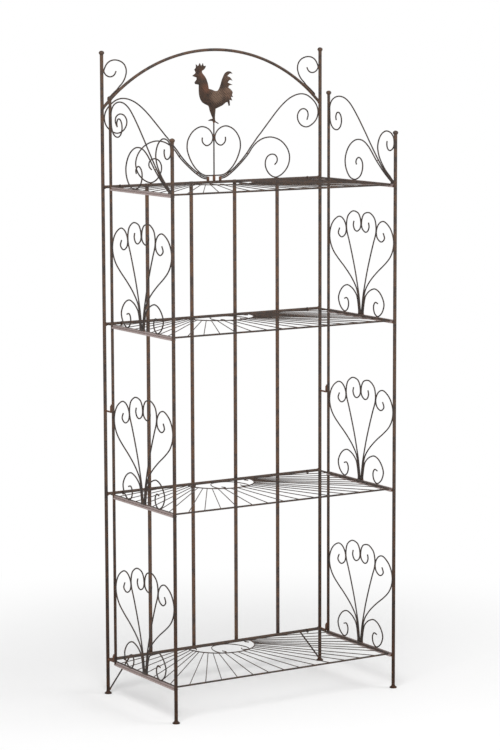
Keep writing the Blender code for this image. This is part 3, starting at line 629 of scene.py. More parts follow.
def copied(item: Item, name: str, shift: Place) -> Item:
    """Copy a piece with its own mesh.

    Args:
        item: piece to copy.
        name: name of the copy.
        shift: where the copy stands from the piece.

    Returns:
        The copy.
    """
    pick(item)
    bpy.ops.object.duplicate(linked=False)
    copy = bpy.context.object
    copy.name = name
    return moved(copy, shift)


def united(name: str, items: Sequence[Item]) -> Item:
    """Join pieces that are one body into one object.

    Args:
        name: name of the whole.
        items: objects to join.

    Returns:
        The whole.
    """
    pick(*items)
    bpy.ops.object.join()
    whole = bpy.context.object
    whole.name = name
    return whole


def new_curve(name: str, dimensions: str, rotation: Place = (0, 0, 0)) -> Item:
    """Lay an empty curve.

    Args:
        name: name of the piece.
        dimensions: whether it is flat, 2D, or free, 3D.
        rotation: how it stands.

    Returns:
        The curve's object.
    """
    deselect_all()
    bpy.ops.curve.primitive_bezier_curve_add(location=(0, 0, 0), rotation=rotation)
    item = bpy.context.object
    item.name = name
    item.data.splines.clear()
    item.data.dimensions = dimensions
    return item


def lay_bend(curve: bpy.types.Curve, points: Sequence[Vector], closed: bool, steps: int) -> bpy.types.Spline:
    """Add a line that bends smoothly through points.

    Args:
        curve: curve that takes it.
        points: places that it runs through.
        closed: whether its end joins its start.
        steps: steps between two points.

    Returns:
        The line.
    """
    spline = curve.splines.new("BEZIER")
    spline.bezier_points.add(len(points) - 1)
    spline.use_cyclic_u = closed
    spline.resolution_u = steps
    first, last = (points[-1], points[0]) if closed else (points[0], points[-1])
    padded = [first, *points, last]
    for knot, before, point, after in zip(spline.bezier_points, padded, points, padded[2:]):
        back, ahead = (point - before).length, (after - point).length
        slope = (after - before) / (back + ahead)
        knot.handle_left_type = knot.handle_right_type = "FREE"
        knot.co = point
        knot.handle_left = point - slope * back / 3
        knot.handle_right = point + slope * ahead / 3
    return spline


def as_mesh(item: Item) -> Item:
    """The curve made a mesh."""
    pick(item)
    bpy.ops.object.convert(target="MESH")
    return bpy.context.object


class Wirework:
    """Wires of one piece, bent as curves and then made one mesh."""

    def __init__(self, name: str, radius: float, sides: int = 10, fineness: int = 5) -> None:
        """Start with an empty curve.

        Args:
            name: name of the piece.
            radius: radius of its wires.
            sides: sides of their section.
            fineness: steps between two points of a bend.
        """
        self.item = new_curve(name, "3D")
        self.curve = self.item.data
        self.curve.bevel_depth = radius
        self.curve.bevel_resolution = (sides - PLAIN_SIDES) // 2
        self.curve.use_fill_caps = True
        self.fineness = fineness

    def bend(self, points: Sequence[Vector], closed: bool = False) -> None:
        """Add a wire that bends smoothly through points.

        Args:
            points: places that the wire's axis runs through.
            closed: whether its end joins its start.
        """
        lay_bend(self.curve, points, closed, self.fineness)

    def straight(self, *points: Vector) -> None:
        """Add a wire that runs straight from point to point."""
        spline = self.curve.splines.new("POLY")
        spline.points.add(len(points) - 1)
        for knot, point in zip(spline.points, points):
            knot.co = (*point, 1.0)

    def finish(self, edge: float = 0.4 * MM) -> Item:
        """Make the wires a mesh with welded caps and softened ends.

        Args:
            edge: width of the softening at the wires' ends.

        Returns:
            The finished piece.
        """
        return soften(merge_doubles(as_mesh(self.item)), edge)


def turned(name: str, profile: Sequence[Span], sides: int = 20) -> Item:
    """Draw a circle up through a profile, as a tube with its foot and ball.

    Args:
        name: name of the piece.
        profile: radius and height of each ring, from the bottom up.
        sides: sides of the tube.

    Returns:
        The piece, around the Z axis.
    """
    radius, height = profile[0]
    deselect_all()
    bpy.ops.mesh.primitive_circle_add(
        vertices=sides, radius=radius, fill_type="NGON", location=(0, 0, height)
    )
    item = bpy.context.object
    item.name = name
    with editing(item):
        for next_radius, next_height in profile[1:]:
            rise = (0, 0, next_height - height)
            bpy.ops.mesh.extrude_region_move(TRANSFORM_OT_translate={"value": rise})
            share = next_radius / radius
            bpy.ops.transform.resize(value=(share, share, 1), center_override=(0, 0, next_height))
            radius, height = next_radius, next_height
    return merge_doubles(moved(item))


def flat_bar(name: str, middle: Place, sizes: Place, edge: float = 0.7 * MM) -> Item:
    """Cut a bar and soften its edges.

    Args:
        name: name of the piece.
        middle: place of its middle.
        sizes: its sizes along X, Y and Z.
        edge: width of the softened edges.

    Returns:
        The bar.
    """
    deselect_all()
    bpy.ops.mesh.primitive_cube_add(size=1, location=middle, scale=sizes)
    item = bpy.context.object
    item.name = name
    return soften(moved(item), edge, segments=3)


def weld_beads(name: str, beads: Iterable[Bead]) -> Item:
    """Lay lumpy weld beads.

    Args:
        name: name of the piece.
        beads: middle and radius of each bead.

    Returns:
        All beads as one object.
    """
    deselect_all()
    bpy.ops.mesh.primitive_ico_sphere_add(subdivisions=2, radius=MM, location=(0, 0, 0))
    lump = bpy.context.object
    with editing(lump):
        bpy.ops.transform.vertex_random(offset=LUMPINESS, uniform=0.2, normal=0.8, seed=7)
    laid = []
    for index, (middle, radius) in enumerate(beads):
        bead = lump.copy()
        bead.data = lump.data.copy()
        bead.rotation_euler = [index * turn for turn in BEAD_TURNS]
        bead.scale = (radius / MM,) * 3
        bead.location = middle
        bpy.context.collection.objects.link(bead)
        laid.append(bead)
    discard(lump)
    return moved(united(name, laid))


def laid_out(rows: Sequence[Row], seat: float) -> list[Span]:
    """Places of a scroll's points in its own plane.

    Args:
        rows: readings in millimetres, some with the seats that they stand off.
        seat: how far apart two wires' surface and axis are where they touch.

    Returns:
        Places across and up, in metres.
    """
    places = []
    for across, up, *seats in rows:
        seats_across, seats_up = seats or (0, 0)
        places.append((across * MM + seats_across * seat, up * MM + seats_up * seat))
    return places


def arc(radius: float, start: float, end: float, steps: int) -> list[Span]:
    """Points on an arc around the origin, by angle."""
    angles = [start + (end - start) * step / steps for step in range(steps + 1)]
    return [(radius * math.cos(angle), radius * math.sin(angle)) for angle in angles]


@dataclass(frozen=True)
class Layout:
    """Sizes that the sub-assemblies share."""

    width: float = 0.696
    depth: float = 0.370
    height: float = 1.756
    levels: Row = (1.3930, 1.0231, 0.5581, 0.0950)
    gap: float = 0.0003  # between pieces that touch
    post_radius: float = 0.00475
    rear_post_radius: float = 0.0040
    rear_post_setback: float = 0.044
    rail_radius: float = 0.0040
    scroll_radius: float = 0.0019
    foot_radius: float = 0.010
    foot_height: float = 0.009
    ball_radius: float = 0.0075
    ball_rise: float = 0.0060
    ball_neck: Span = (0.0005, 0.95)  # how far it stands out, and how far it hangs in shares of the rise
    pin_radius: float = 0.0025
    sleeve_radius: float = 0.0043
    hook_heights: tuple[tuple[str, float], ...] = (("upper", 0.7870), ("lower", 0.0966))

    @property
    def side(self) -> float:
        """Distance of the side posts' axes from the middle."""
        return self.width / 2

    @property
    def back(self) -> float:
        """Distance of the back posts' axes from the middle."""
        return self.depth / 2

    @property
    def rear_post_place(self) -> float:
        """Where the side frames' rear posts stand along Y."""
        return self.back - self.rear_post_setback

    @property
    def hinge_place(self) -> float:
        """Where the side frames' pins stand along Y."""
        return self.rear_post_place + self.rear_post_radius + self.gap + self.sleeve_radius

    def ball(self, top: float, radius: float) -> list[Span]:
        """Profile of a post's ball.

        Args:
            top: height of its top.
            radius: radius of the post under it.

        Returns:
            Radius and height of each ring, from the post up.
        """
        middle = top - self.ball_rise
        wider, drop = self.ball_neck
        rows = [(radius, middle - self.ball_rise), (radius + wider, middle - drop * self.ball_rise)]
        for angle in BALL_ANGLES:
            turn = math.radians(angle)
            rows.append((self.ball_radius * math.cos(turn), middle + self.ball_rise * math.sin(turn)))
        return rows

    def post(self, top: float) -> list[Span]:
        """Profile of a post from its flared foot to its ball.

        Args:
            top: height of the ball's top.

        Returns:
            Radius and height of each ring, from the floor up.
        """
        flare = self.foot_radius - self.post_radius
        rows = [(self.post_radius + share * flare, up * self.foot_height) for share, up in FLARE]
        return [*rows, *self.ball(top, self.post_radius)]


class Dresser:
    """Gives each finished piece its iron, its body and the solid that it stands for."""

    def __init__(self) -> None:
        """Mix every finish once."""
        self.materials = {iron: finish.material(iron.value) for iron, finish in FINISHES.items()}
        self.count = 0

    def dress(self, item: Item, iron: Iron, body: str, node: str = "") -> None:
        """Finish one piece.

        Args:
            item: piece to dress.
            iron: kind of iron that it is made of.
            body: body that it moves with.
            node: solid that it stands for, if there is one.
        """
        pick(item)
        bpy.ops.object.shade_smooth_by_angle(angle=SMOOTH_ANGLE)
        item.name = f"{node}_iron" if node else item.name
        item.data.materials.clear()
        item.data.materials.append(self.materials[iron])
        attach(item, body)
        if node:
            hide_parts(node)
        self.count += 1
        LOG.info("%s: %s on %s, %d faces", item.name, iron.value, body, len(item.data.polygons))

    def repeat(self, pattern: Item, place: Place, iron: Iron, body: str, node: str) -> None:
        """Copy a pattern piece to a place and dress the copy.

        Args:
            pattern: piece to copy.
            place: where the copy stands from it.
            iron: kind of iron that it is made of.
            body: body that it moves with.
            node: solid that it stands for.
        """
        self.dress(copied(pattern, node, place), iron, body, node)


@dataclass
class BackFrame:
    """Back frame with its arch, rails, bars, scrolls and rooster, which stands still."""

    layout: Layout
    dresser: Dresser
    arch_rise: float = 0.1528
    arch_top: float = 1.7539
    rod_inset: float = 0.002  # of the rods' ends from the side posts' axes
    bars: int = 4
    bar_sizes: Span = (0.010, 0.004)
    bar_pitch: float = 0.1392
    bar_gap: float = 0.00015
    brace_radius: float = 0.0022
    brace_foot: float = 0.012
    brace_reach: float = 0.065
    brace_inset: float = 0.001  # of its foot from the post
    brace_bite: float = 0.0006
    collars: tuple[Row, ...] = ((-19.7, 7, 11), (0, 7, 13.5), (19.7, 7, 11))
    collar_depth: float = 0.0044
    corner_shares: Row = (0.919, 0.871, 0.825)
    corner_bite: float = 0.0004
    rod_radius: float = 0.0020
    rod_foot: float = 0.016  # above the crest
    perch: float = 1.5557
    sheet: float = 0.0020
    sheet_edge: float = 0.0003
    eye_radius: float = 0.0046
    eye_wire: float = 0.0015
    eye_place: float = 0.300
    pin_bend: float = 0.0035
    pin_height: float = 0.021
    pin_bite: float = 0.0005
    body: str = "back_frame"
    beads: list[Bead] = field(default_factory=list)

    @property
    def crest(self) -> float:
        """Height of the top rail's upper side, which the scrolls stand on."""
        return self.layout.levels[0] + self.layout.rail_radius

    @property
    def arch_foot(self) -> float:
        """Height of the arch's axis above the side posts' axes."""
        return self.arch_top - self.arch_rise

    @property
    def arch_bend(self) -> float:
        """Radius of the arch's axis."""
        return (self.layout.side**2 + self.arch_rise**2) / (2 * self.arch_rise)

    def stood(self, route: Iterable[Span], height: float, turn: int = 1) -> list[Vector]:
        """Stand a route in the back posts' plane.

        Args:
            route: places across and up.
            height: height that it counts from.
            turn: 1, or -1 for its mirror image.

        Returns:
            The places.
        """
        return [Vector((turn * across, self.layout.back, height + up)) for across, up in route]

    def bead(self, across: float, height: float, radius: float, behind: float = 0) -> None:
        """Note a weld bead.

        Args:
            across: its place along X, in metres.
            height: its height, in metres.
            radius: its radius, in millimetres.
            behind: how far it is behind the back posts' axes, in millimetres.
        """
        self.beads.append(((across, self.layout.back + behind * MM, height), radius * MM))

    def build(self) -> None:
        """Make and dress every piece of the back frame."""
        self.build_posts()
        self.build_arch()
        self.build_rails()
        self.build_bars()
        self.build_scrolls()
        self.build_heart()
        self.build_rooster()
        self.build_braces()
        self.build_hooks()
        self.dresser.dress(weld_beads("back_frame_welds", self.beads), Iron.FITTING, self.body)

    def build_posts(self) -> None:
        """Draw the back posts up from their flared feet to their balls."""
        pattern = turned("post", self.layout.post(self.layout.height))
        for hand in Hand:
            place = (hand.value * self.layout.side, self.layout.back, 0)
            self.dresser.repeat(pattern, place, Iron.TUBE, self.body, f"back_post_{hand.word}")
        discard(pattern)

    def build_arch(self) -> None:
        """Bend the arch from post to post."""
        half = math.asin((self.layout.side - self.rod_inset) / self.arch_bend)
        centre = self.arch_top - self.arch_bend
        work = Wirework("arch", self.layout.rail_radius, sides=16, fineness=4)
        work.bend(self.stood(arc(self.arch_bend, QUARTER - half, QUARTER + half, ARCH_STEPS), centre))
        self.dresser.dress(work.finish(), Iron.RAIL, self.body, "arch")
        end = self.layout.side - self.layout.post_radius
        height = centre + math.sqrt(self.arch_bend**2 - end**2)
        drop, radius = ARCH_BEAD
        for hand in Hand:
            self.bead(hand.value * end, height - drop * MM, radius)

    def build_rails(self) -> None:
        """Make one rail with its two eyes and repeat it at every shelf."""
        layout = self.layout
        reach = layout.side - self.rod_inset
        rod = Wirework("rail", layout.rail_radius, sides=16)
        rod.straight(Vector((-reach, 0, 0)), Vector((reach, 0, 0)))
        eyes = Wirework("eyes", self.eye_wire, fineness=3)
        drop = layout.rail_radius + self.eye_radius
        circle = arc(self.eye_radius, 0, 2 * math.pi, EYE_STEPS)[1:]
        for hand in Hand:
            across = hand.value * self.eye_place
            eyes.bend([Vector((across, along - drop, up)) for along, up in circle], closed=True)
        pattern = united("rail", [rod.finish(), eyes.finish()])
        for number, height in enumerate(layout.levels, start=1):
            place = (0, layout.back, height)
            self.dresser.repeat(pattern, place, Iron.RAIL, self.body, f"back_rail_{number}")
            for hand in Hand:
                for across, behind, up, radius in RAIL_BEADS:
                    self.bead(hand.value * across * MM, height + up * MM, radius, behind)
        discard(pattern)

    def build_bars(self) -> None:
        """Cut one flat bar and set four of them behind the rails."""
        layout = self.layout
        bottom = layout.levels[-1] - layout.rail_radius
        width, thickness = self.bar_sizes
        along = layout.back + layout.rail_radius + self.bar_gap + thickness / 2
        middle = (0, along, (self.crest + bottom) / 2)
        pattern = flat_bar("bar", middle, (width, thickness, self.crest - bottom))
        for number in range(self.bars):
            across = (number - (self.bars - 1) / 2) * self.bar_pitch
            node = f"vertical_bar_{number + 1}"
            self.dresser.repeat(pattern, (across, 0, 0), Iron.BAR, self.body, node)
            for height in layout.levels:
                for hand in Hand:
                    behind, radius = BAR_BEAD
                    self.bead(across + hand.value * width / 2, height, radius, behind)
        discard(pattern)

    def corner_start(self) -> list[Span]:
        """Places where a corner scroll lies on the arch, from the arch's foot."""
        reach = self.arch_bend + self.layout.rail_radius + self.layout.scroll_radius - self.corner_bite
        half = math.asin(self.layout.side / self.arch_bend)
        angles = [share * half for share in self.corner_shares]
        drop = self.arch_bend - self.arch_rise
        return [(reach * math.sin(angle), reach * math.cos(angle) - drop) for angle in angles]

    def build_scrolls(self) -> None:
        """Bend the scrolls of the crest and note their welds."""
        seat = self.layout.scroll_radius
        start = self.corner_start()
        routes = {
            "s_scroll": (self.crest, laid_out(S_SCROLL, seat)),
            "inner_scroll": (self.crest, laid_out(INNER_SCROLL, seat)),
            "corner_scroll": (self.arch_foot, start + laid_out(CORNER_SCROLL, seat)),
        }
        lift = self.arch_foot - self.crest
        drop, radius = CORNER_BEAD
        corners = [(across / MM, (lift + up) / MM - drop, radius) for across, up in (start[0], start[-1])]
        for hand in Hand:
            for name, (height, route) in routes.items():
                node = f"{name}_{hand.word}"
                work = Wirework(node, seat)
                work.bend(self.stood(route, height, hand.value))
                self.dresser.dress(work.finish(), Iron.SCROLL, self.body, node)
            for across, up, radius in (*POST_BEADS, *corners, *SCROLL_BEADS):
                self.bead(hand.value * across * MM, self.crest + up * MM, radius)

    def build_heart(self) -> None:
        """Bend the heart and bind it and its neighbours to the top rail with collars."""
        half = laid_out(HEART, self.layout.scroll_radius)
        whole = [(-across, up) for across, up in reversed(half[1:])] + half
        work = Wirework("heart_scroll", self.layout.scroll_radius)
        work.bend(self.stood(whole, self.crest))
        self.dresser.dress(work.finish(), Iron.SCROLL, self.body, "heart_scroll")
        bands = []
        for across, length, height in self.collars:
            middle = (across * MM, self.layout.back, self.crest + height * MM / 2)
            bands.append(flat_bar("band", middle, (length * MM, self.collar_depth, height * MM)))
        self.dresser.dress(united("crest_collars", bands), Iron.FITTING, self.body)
        for across, behind, up, radius in HEART_BEADS:
            self.bead(across * MM, self.crest + up * MM, radius, behind)

    def build_rooster(self) -> None:
        """Stand the rod on the heart and the sheet rooster on the rod."""
        rod = Wirework("rooster_rod", self.rod_radius)
        rod.straight(*self.stood(((0, self.crest + self.rod_foot), (0, self.perch + self.rod_radius)), 0))
        self.dresser.dress(rod.finish(), Iron.SCROLL, self.body, "rooster_rod")
        item = new_curve("rooster", "2D", rotation=(QUARTER, 0, 0))
        curve = item.data
        curve.fill_mode = "BOTH"
        curve.extrude = self.sheet / 2 - self.sheet_edge
        curve.bevel_depth = self.sheet_edge
        curve.bevel_resolution = 1
        curve.offset = -self.sheet_edge
        self.cut_outline(curve)
        item = merge_doubles(moved(as_mesh(item), (0, self.layout.back, self.perch)))
        self.dresser.dress(item, Iron.SHEET, self.body, "rooster")
        behind, up, radius = ROOSTER_BEAD
        self.bead(0, self.perch + up * MM, radius, behind)

    def cut_outline(self, curve: bpy.types.Curve) -> None:
        """Lay the rooster's outline, rounded where it bends and pointed at beak, comb and feathers.

        Args:
            curve: curve that takes the outline.
        """
        points = [Vector((across * MM, up * MM, 0)) for across, up in ROOSTER]
        spline = lay_bend(curve, points, closed=True, steps=4)
        padded = [points[-1], *points, points[0]]
        for knot, before, point, after in zip(spline.bezier_points, padded, points, padded[2:]):
            if (point - before).angle(after - point) > POINTED_ANGLE:
                knot.handle_left_type = knot.handle_right_type = "VECTOR"

    def build_braces(self) -> None:
        """Slant a brace from each back post's foot up to the lowest rail."""
        layout = self.layout
        top = layout.levels[-1] - layout.rail_radius - self.brace_radius + self.brace_bite
        low = (layout.side - layout.post_radius - self.brace_inset, self.brace_foot)
        high = (layout.side - self.brace_reach, top)
        for hand in Hand:
            node = f"brace_{hand.word}"
            work = Wirework(node, self.brace_radius)
            work.straight(*self.stood((low, high), 0, hand.value))
            self.dresser.dress(work.finish(), Iron.SCROLL, self.body, node)
            for (across, height), (up, radius) in zip((low, high), BRACE_BEADS):
                self.bead(hand.value * across, height + up * MM, radius)

    def build_hooks(self) -> None:
        """Bend one pin and weld a copy to each back post at both heights."""
        layout = self.layout
        reach = layout.back - layout.post_radius + self.pin_bite - layout.hinge_place
        route = [Vector((0, reach, 0))]
        for along, up in arc(self.pin_bend, -QUARTER, -math.pi, PIN_STEPS):
            route.append(Vector((0, self.pin_bend + along, self.pin_bend + up)))
        route.append(Vector((0, 0, self.pin_height)))
        work = Wirework("hook", layout.pin_radius, sides=14)
        work.straight(*route)
        pattern = work.finish(edge=0.7 * MM)
        for hand in Hand:
            across = hand.value * layout.side
            for level, height in layout.hook_heights:
                node, place = f"hook_{hand.word}_{level}", (across, layout.hinge_place, height)
                self.dresser.repeat(pattern, place, Iron.FITTING, self.body, node)
                behind, radius = HOOK_BEAD
                self.bead(across, height, radius, behind)
        discard(pattern)


@dataclass
class SideFrames:
    """The two side frames with their posts, crossbars, fans and scrolls, which swing on pins."""

    layout: Layout
    dresser: Dresser
    front_post_top: float = 1.5390
    rear_post_top: float = 1.6369
    rear_post_tip: Span = (0.8, 0.0008)  # share of its radius that its end keeps, and the end's height
    ball_root: Span = (0.9, 0.002)  # share of the post's radius, and how deep it sits in the post
    crossbar_sizes: Span = (0.014, 0.004)
    crossbar_inset: float = 0.0025
    crossbar_drop: float = 0.0028
    strip: Span = (0.003, 0.005)
    strip_bite: float = 0.0008
    strip_play: float = 0.0004
    block: Row = (0.0044, 0.024, 0.008)
    top_block: Row = (0.0044, 0.014, 0.010)
    top_block_place: float = 0.0080
    sleeve_bore: float = 0.0030
    sleeve_height: float = 0.014

    @property
    def panel_front(self) -> float:
        """Inner side of the front post, along Y."""
        return -self.layout.back + self.layout.post_radius

    @property
    def panel_back(self) -> float:
        """Inner side of the rear post, along Y."""
        return self.layout.rear_post_place - self.layout.rear_post_radius

    @property
    def panel_middle(self) -> float:
        """Middle of the panel, along Y."""
        return (self.panel_front + self.panel_back) / 2

    @property
    def numbers(self) -> range:
        """Numbers of the crossbars, from the top shelf's down."""
        return range(1, len(self.layout.levels) + 1)

    def crossbar_top(self, number: int) -> float:
        """Height of a crossbar's upper side."""
        return self.layout.levels[number - 1] - self.crossbar_drop

    def ground(self, number: int) -> float:
        """Height that the scrolls above a crossbar stand on, just inside the strip's upper side."""
        return self.crossbar_top(number) + self.layout.gap + self.strip[1] - self.strip_bite

    def build(self) -> None:
        """Make every pattern piece once and set it in both side frames."""
        layout = self.layout
        front = turned("front", layout.post(self.front_post_top))
        rear, ball = self.draw_rear_post()
        bar, fan, crown, sleeve = self.cut_crossbar(), self.bend_fan(), self.bend_crown(), self.cut_sleeve()
        pieces = [
            ("front_post", front, Iron.TUBE, 0, -layout.back, 0),
            ("rear_post", rear, Iron.TUBE, 0, layout.rear_post_place, 0),
            ("rear_ball", ball, Iron.TUBE, 0, layout.rear_post_place, 0),
        ]
        for number in self.numbers:
            place = (self.crossbar_inset, self.panel_middle, self.crossbar_top(number))
            pieces.append((f"crossbar_{number}", bar, Iron.BAR, *place))
        pieces.append(("top_scrolls", crown, Iron.SCROLL, 0, self.panel_front, self.ground(1)))
        for number in self.numbers[1:]:
            pieces.append((f"fan_{number}", fan, Iron.SCROLL, 0, self.panel_middle, self.ground(number)))
        for level, height in layout.hook_heights:
            foot = height + layout.pin_radius + layout.gap
            pieces.append((f"sleeve_{level}", sleeve, Iron.FITTING, 0, layout.hinge_place, foot))
        for hand in Hand:
            body = f"{hand.word}_side"
            for name, pattern, iron, inset, along, height in pieces:
                place = (hand.value * (layout.side - inset), along, height)
                self.dresser.repeat(pattern, place, iron, body, f"{hand.word}_{name}")
            self.lay_welds(hand, body)
        discard(front, rear, ball, bar, fan, crown, sleeve)

    def draw_rear_post(self) -> tuple[Item, Item]:
        """Draw up the rear post and, as a piece of its own, the ball on it.

        Returns:
            The post and the ball.
        """
        radius, drop = self.layout.rear_post_radius, self.crossbar_sizes[1]
        bottom = self.crossbar_top(self.numbers[-1]) - drop
        top = self.rear_post_top - 2 * self.layout.ball_rise
        tip_share, tip_height = self.rear_post_tip
        shaft = [(tip_share * radius, bottom), (radius, bottom + tip_height), (radius, top)]
        root_share, root_depth = self.ball_root
        ball = [(root_share * radius, top - root_depth), *self.layout.ball(self.rear_post_top, radius)]
        return turned("rear", shaft), turned("ball", ball)

    def cut_crossbar(self) -> Item:
        """Cut a crossbar, which a shelf rests on, with its upper side on the origin.

        Returns:
            The crossbar.
        """
        width, thickness = self.crossbar_sizes
        sizes = (width, self.panel_back - self.panel_front, thickness)
        return flat_bar("crossbar", (0, 0, -thickness / 2), sizes, edge=0.5 * MM)

    def cut_strip(self, middle: float) -> Item:
        """Cut the strip on edge that the scrolls above a crossbar stand on.

        Args:
            middle: place of its middle along Y.

        Returns:
            The strip, with its upper side just above the origin's plane.
        """
        thickness, height = self.strip
        length = self.panel_back - self.panel_front - self.strip_play
        place = (0, middle, self.strip_bite - height / 2)
        return flat_bar("strip", place, (thickness, length, height), edge=0.5 * MM)

    def bend_fan(self) -> Item:
        """Bend the six wires of a fan and set them in their block, on the origin.

        Returns:
            The fan.
        """
        radius = self.layout.scroll_radius
        work = Wirework("fan", radius)
        for rows in (FAN_INNER, FAN_OUTER, FAN_SPIRAL):
            for hand in Hand:
                work.bend([Vector((0, hand.value * along, up)) for along, up in laid_out(rows, radius)])
        block = flat_bar("fan_block", (0, 0, self.block[2] / 2), self.block, edge=MM)
        return united("fan", [work.finish(), block, self.cut_strip(0)])

    def bend_crown(self) -> Item:
        """Bend the three wires above the top shelf and set them in their block, on the origin.

        Returns:
            The crown of scrolls.
        """
        radius = self.layout.scroll_radius
        work = Wirework("crown", radius)
        for rows in (TOP_SCROLL, TOP_HOOK, TOP_SPIRAL):
            work.bend([Vector((0, along, up)) for along, up in laid_out(rows, radius)])
        middle = (0, self.top_block_place, self.top_block[2] / 2)
        block = flat_bar("crown_block", middle, self.top_block, edge=MM)
        strip = self.cut_strip((self.panel_back - self.panel_front) / 2)
        return united("crown", [work.finish(), block, strip])

    def cut_sleeve(self) -> Item:
        """Cut the short tube that drops over a pin, on the origin.

        Returns:
            The sleeve.
        """
        radius = self.layout.sleeve_radius
        deselect_all()
        bpy.ops.mesh.primitive_cylinder_add(
            vertices=24, radius=radius, depth=self.sleeve_height, end_fill_type="NOTHING",
            location=(0, 0, self.sleeve_height / 2),
        )
        sleeve = moved(bpy.context.object)
        wall = sleeve.modifiers.new("Wall", "SOLIDIFY")
        wall.thickness = radius - self.sleeve_bore
        wall.offset = -1
        bpy.ops.object.modifier_apply(modifier=wall.name)
        return soften(sleeve, 0.3 * MM)

    def lay_welds(self, hand: Hand, body: str) -> None:
        """Lay the weld beads of one side frame.

        Args:
            hand: side that they belong to.
            body: body that they move with.
        """
        layout = self.layout
        rows = []
        for number in self.numbers:
            height = self.crossbar_top(number) - self.crossbar_sizes[1] / 2
            for end in (self.panel_front + CROSSBAR_BEAD_PLACE, self.panel_back - CROSSBAR_BEAD_PLACE):
                rows += [(inset, end, height + up * MM, radius) for inset, up, radius in CROSSBAR_BEADS]
        for number in self.numbers[1:]:
            for along, up, radius in FAN_BEADS:
                rows.append((0, self.panel_middle + along * MM, self.ground(number) + up * MM, radius))
        for along, up, radius in CROWN_BEADS:
            rows.append((0, self.panel_front + along * MM, self.ground(1) + up * MM, radius))
        for _, height in layout.hook_heights:
            place = layout.rear_post_place + layout.rear_post_radius
            rows += [(0, place, height + up * MM, radius) for up, radius in SLEEVE_BEADS]
        beads = []
        for inset, along, height, radius in rows:
            beads.append(((hand.value * (layout.side - inset * MM), along, height), radius * MM))
        self.dresser.dress(weld_beads(f"{hand.word}_side_welds", beads), Iron.FITTING, body)


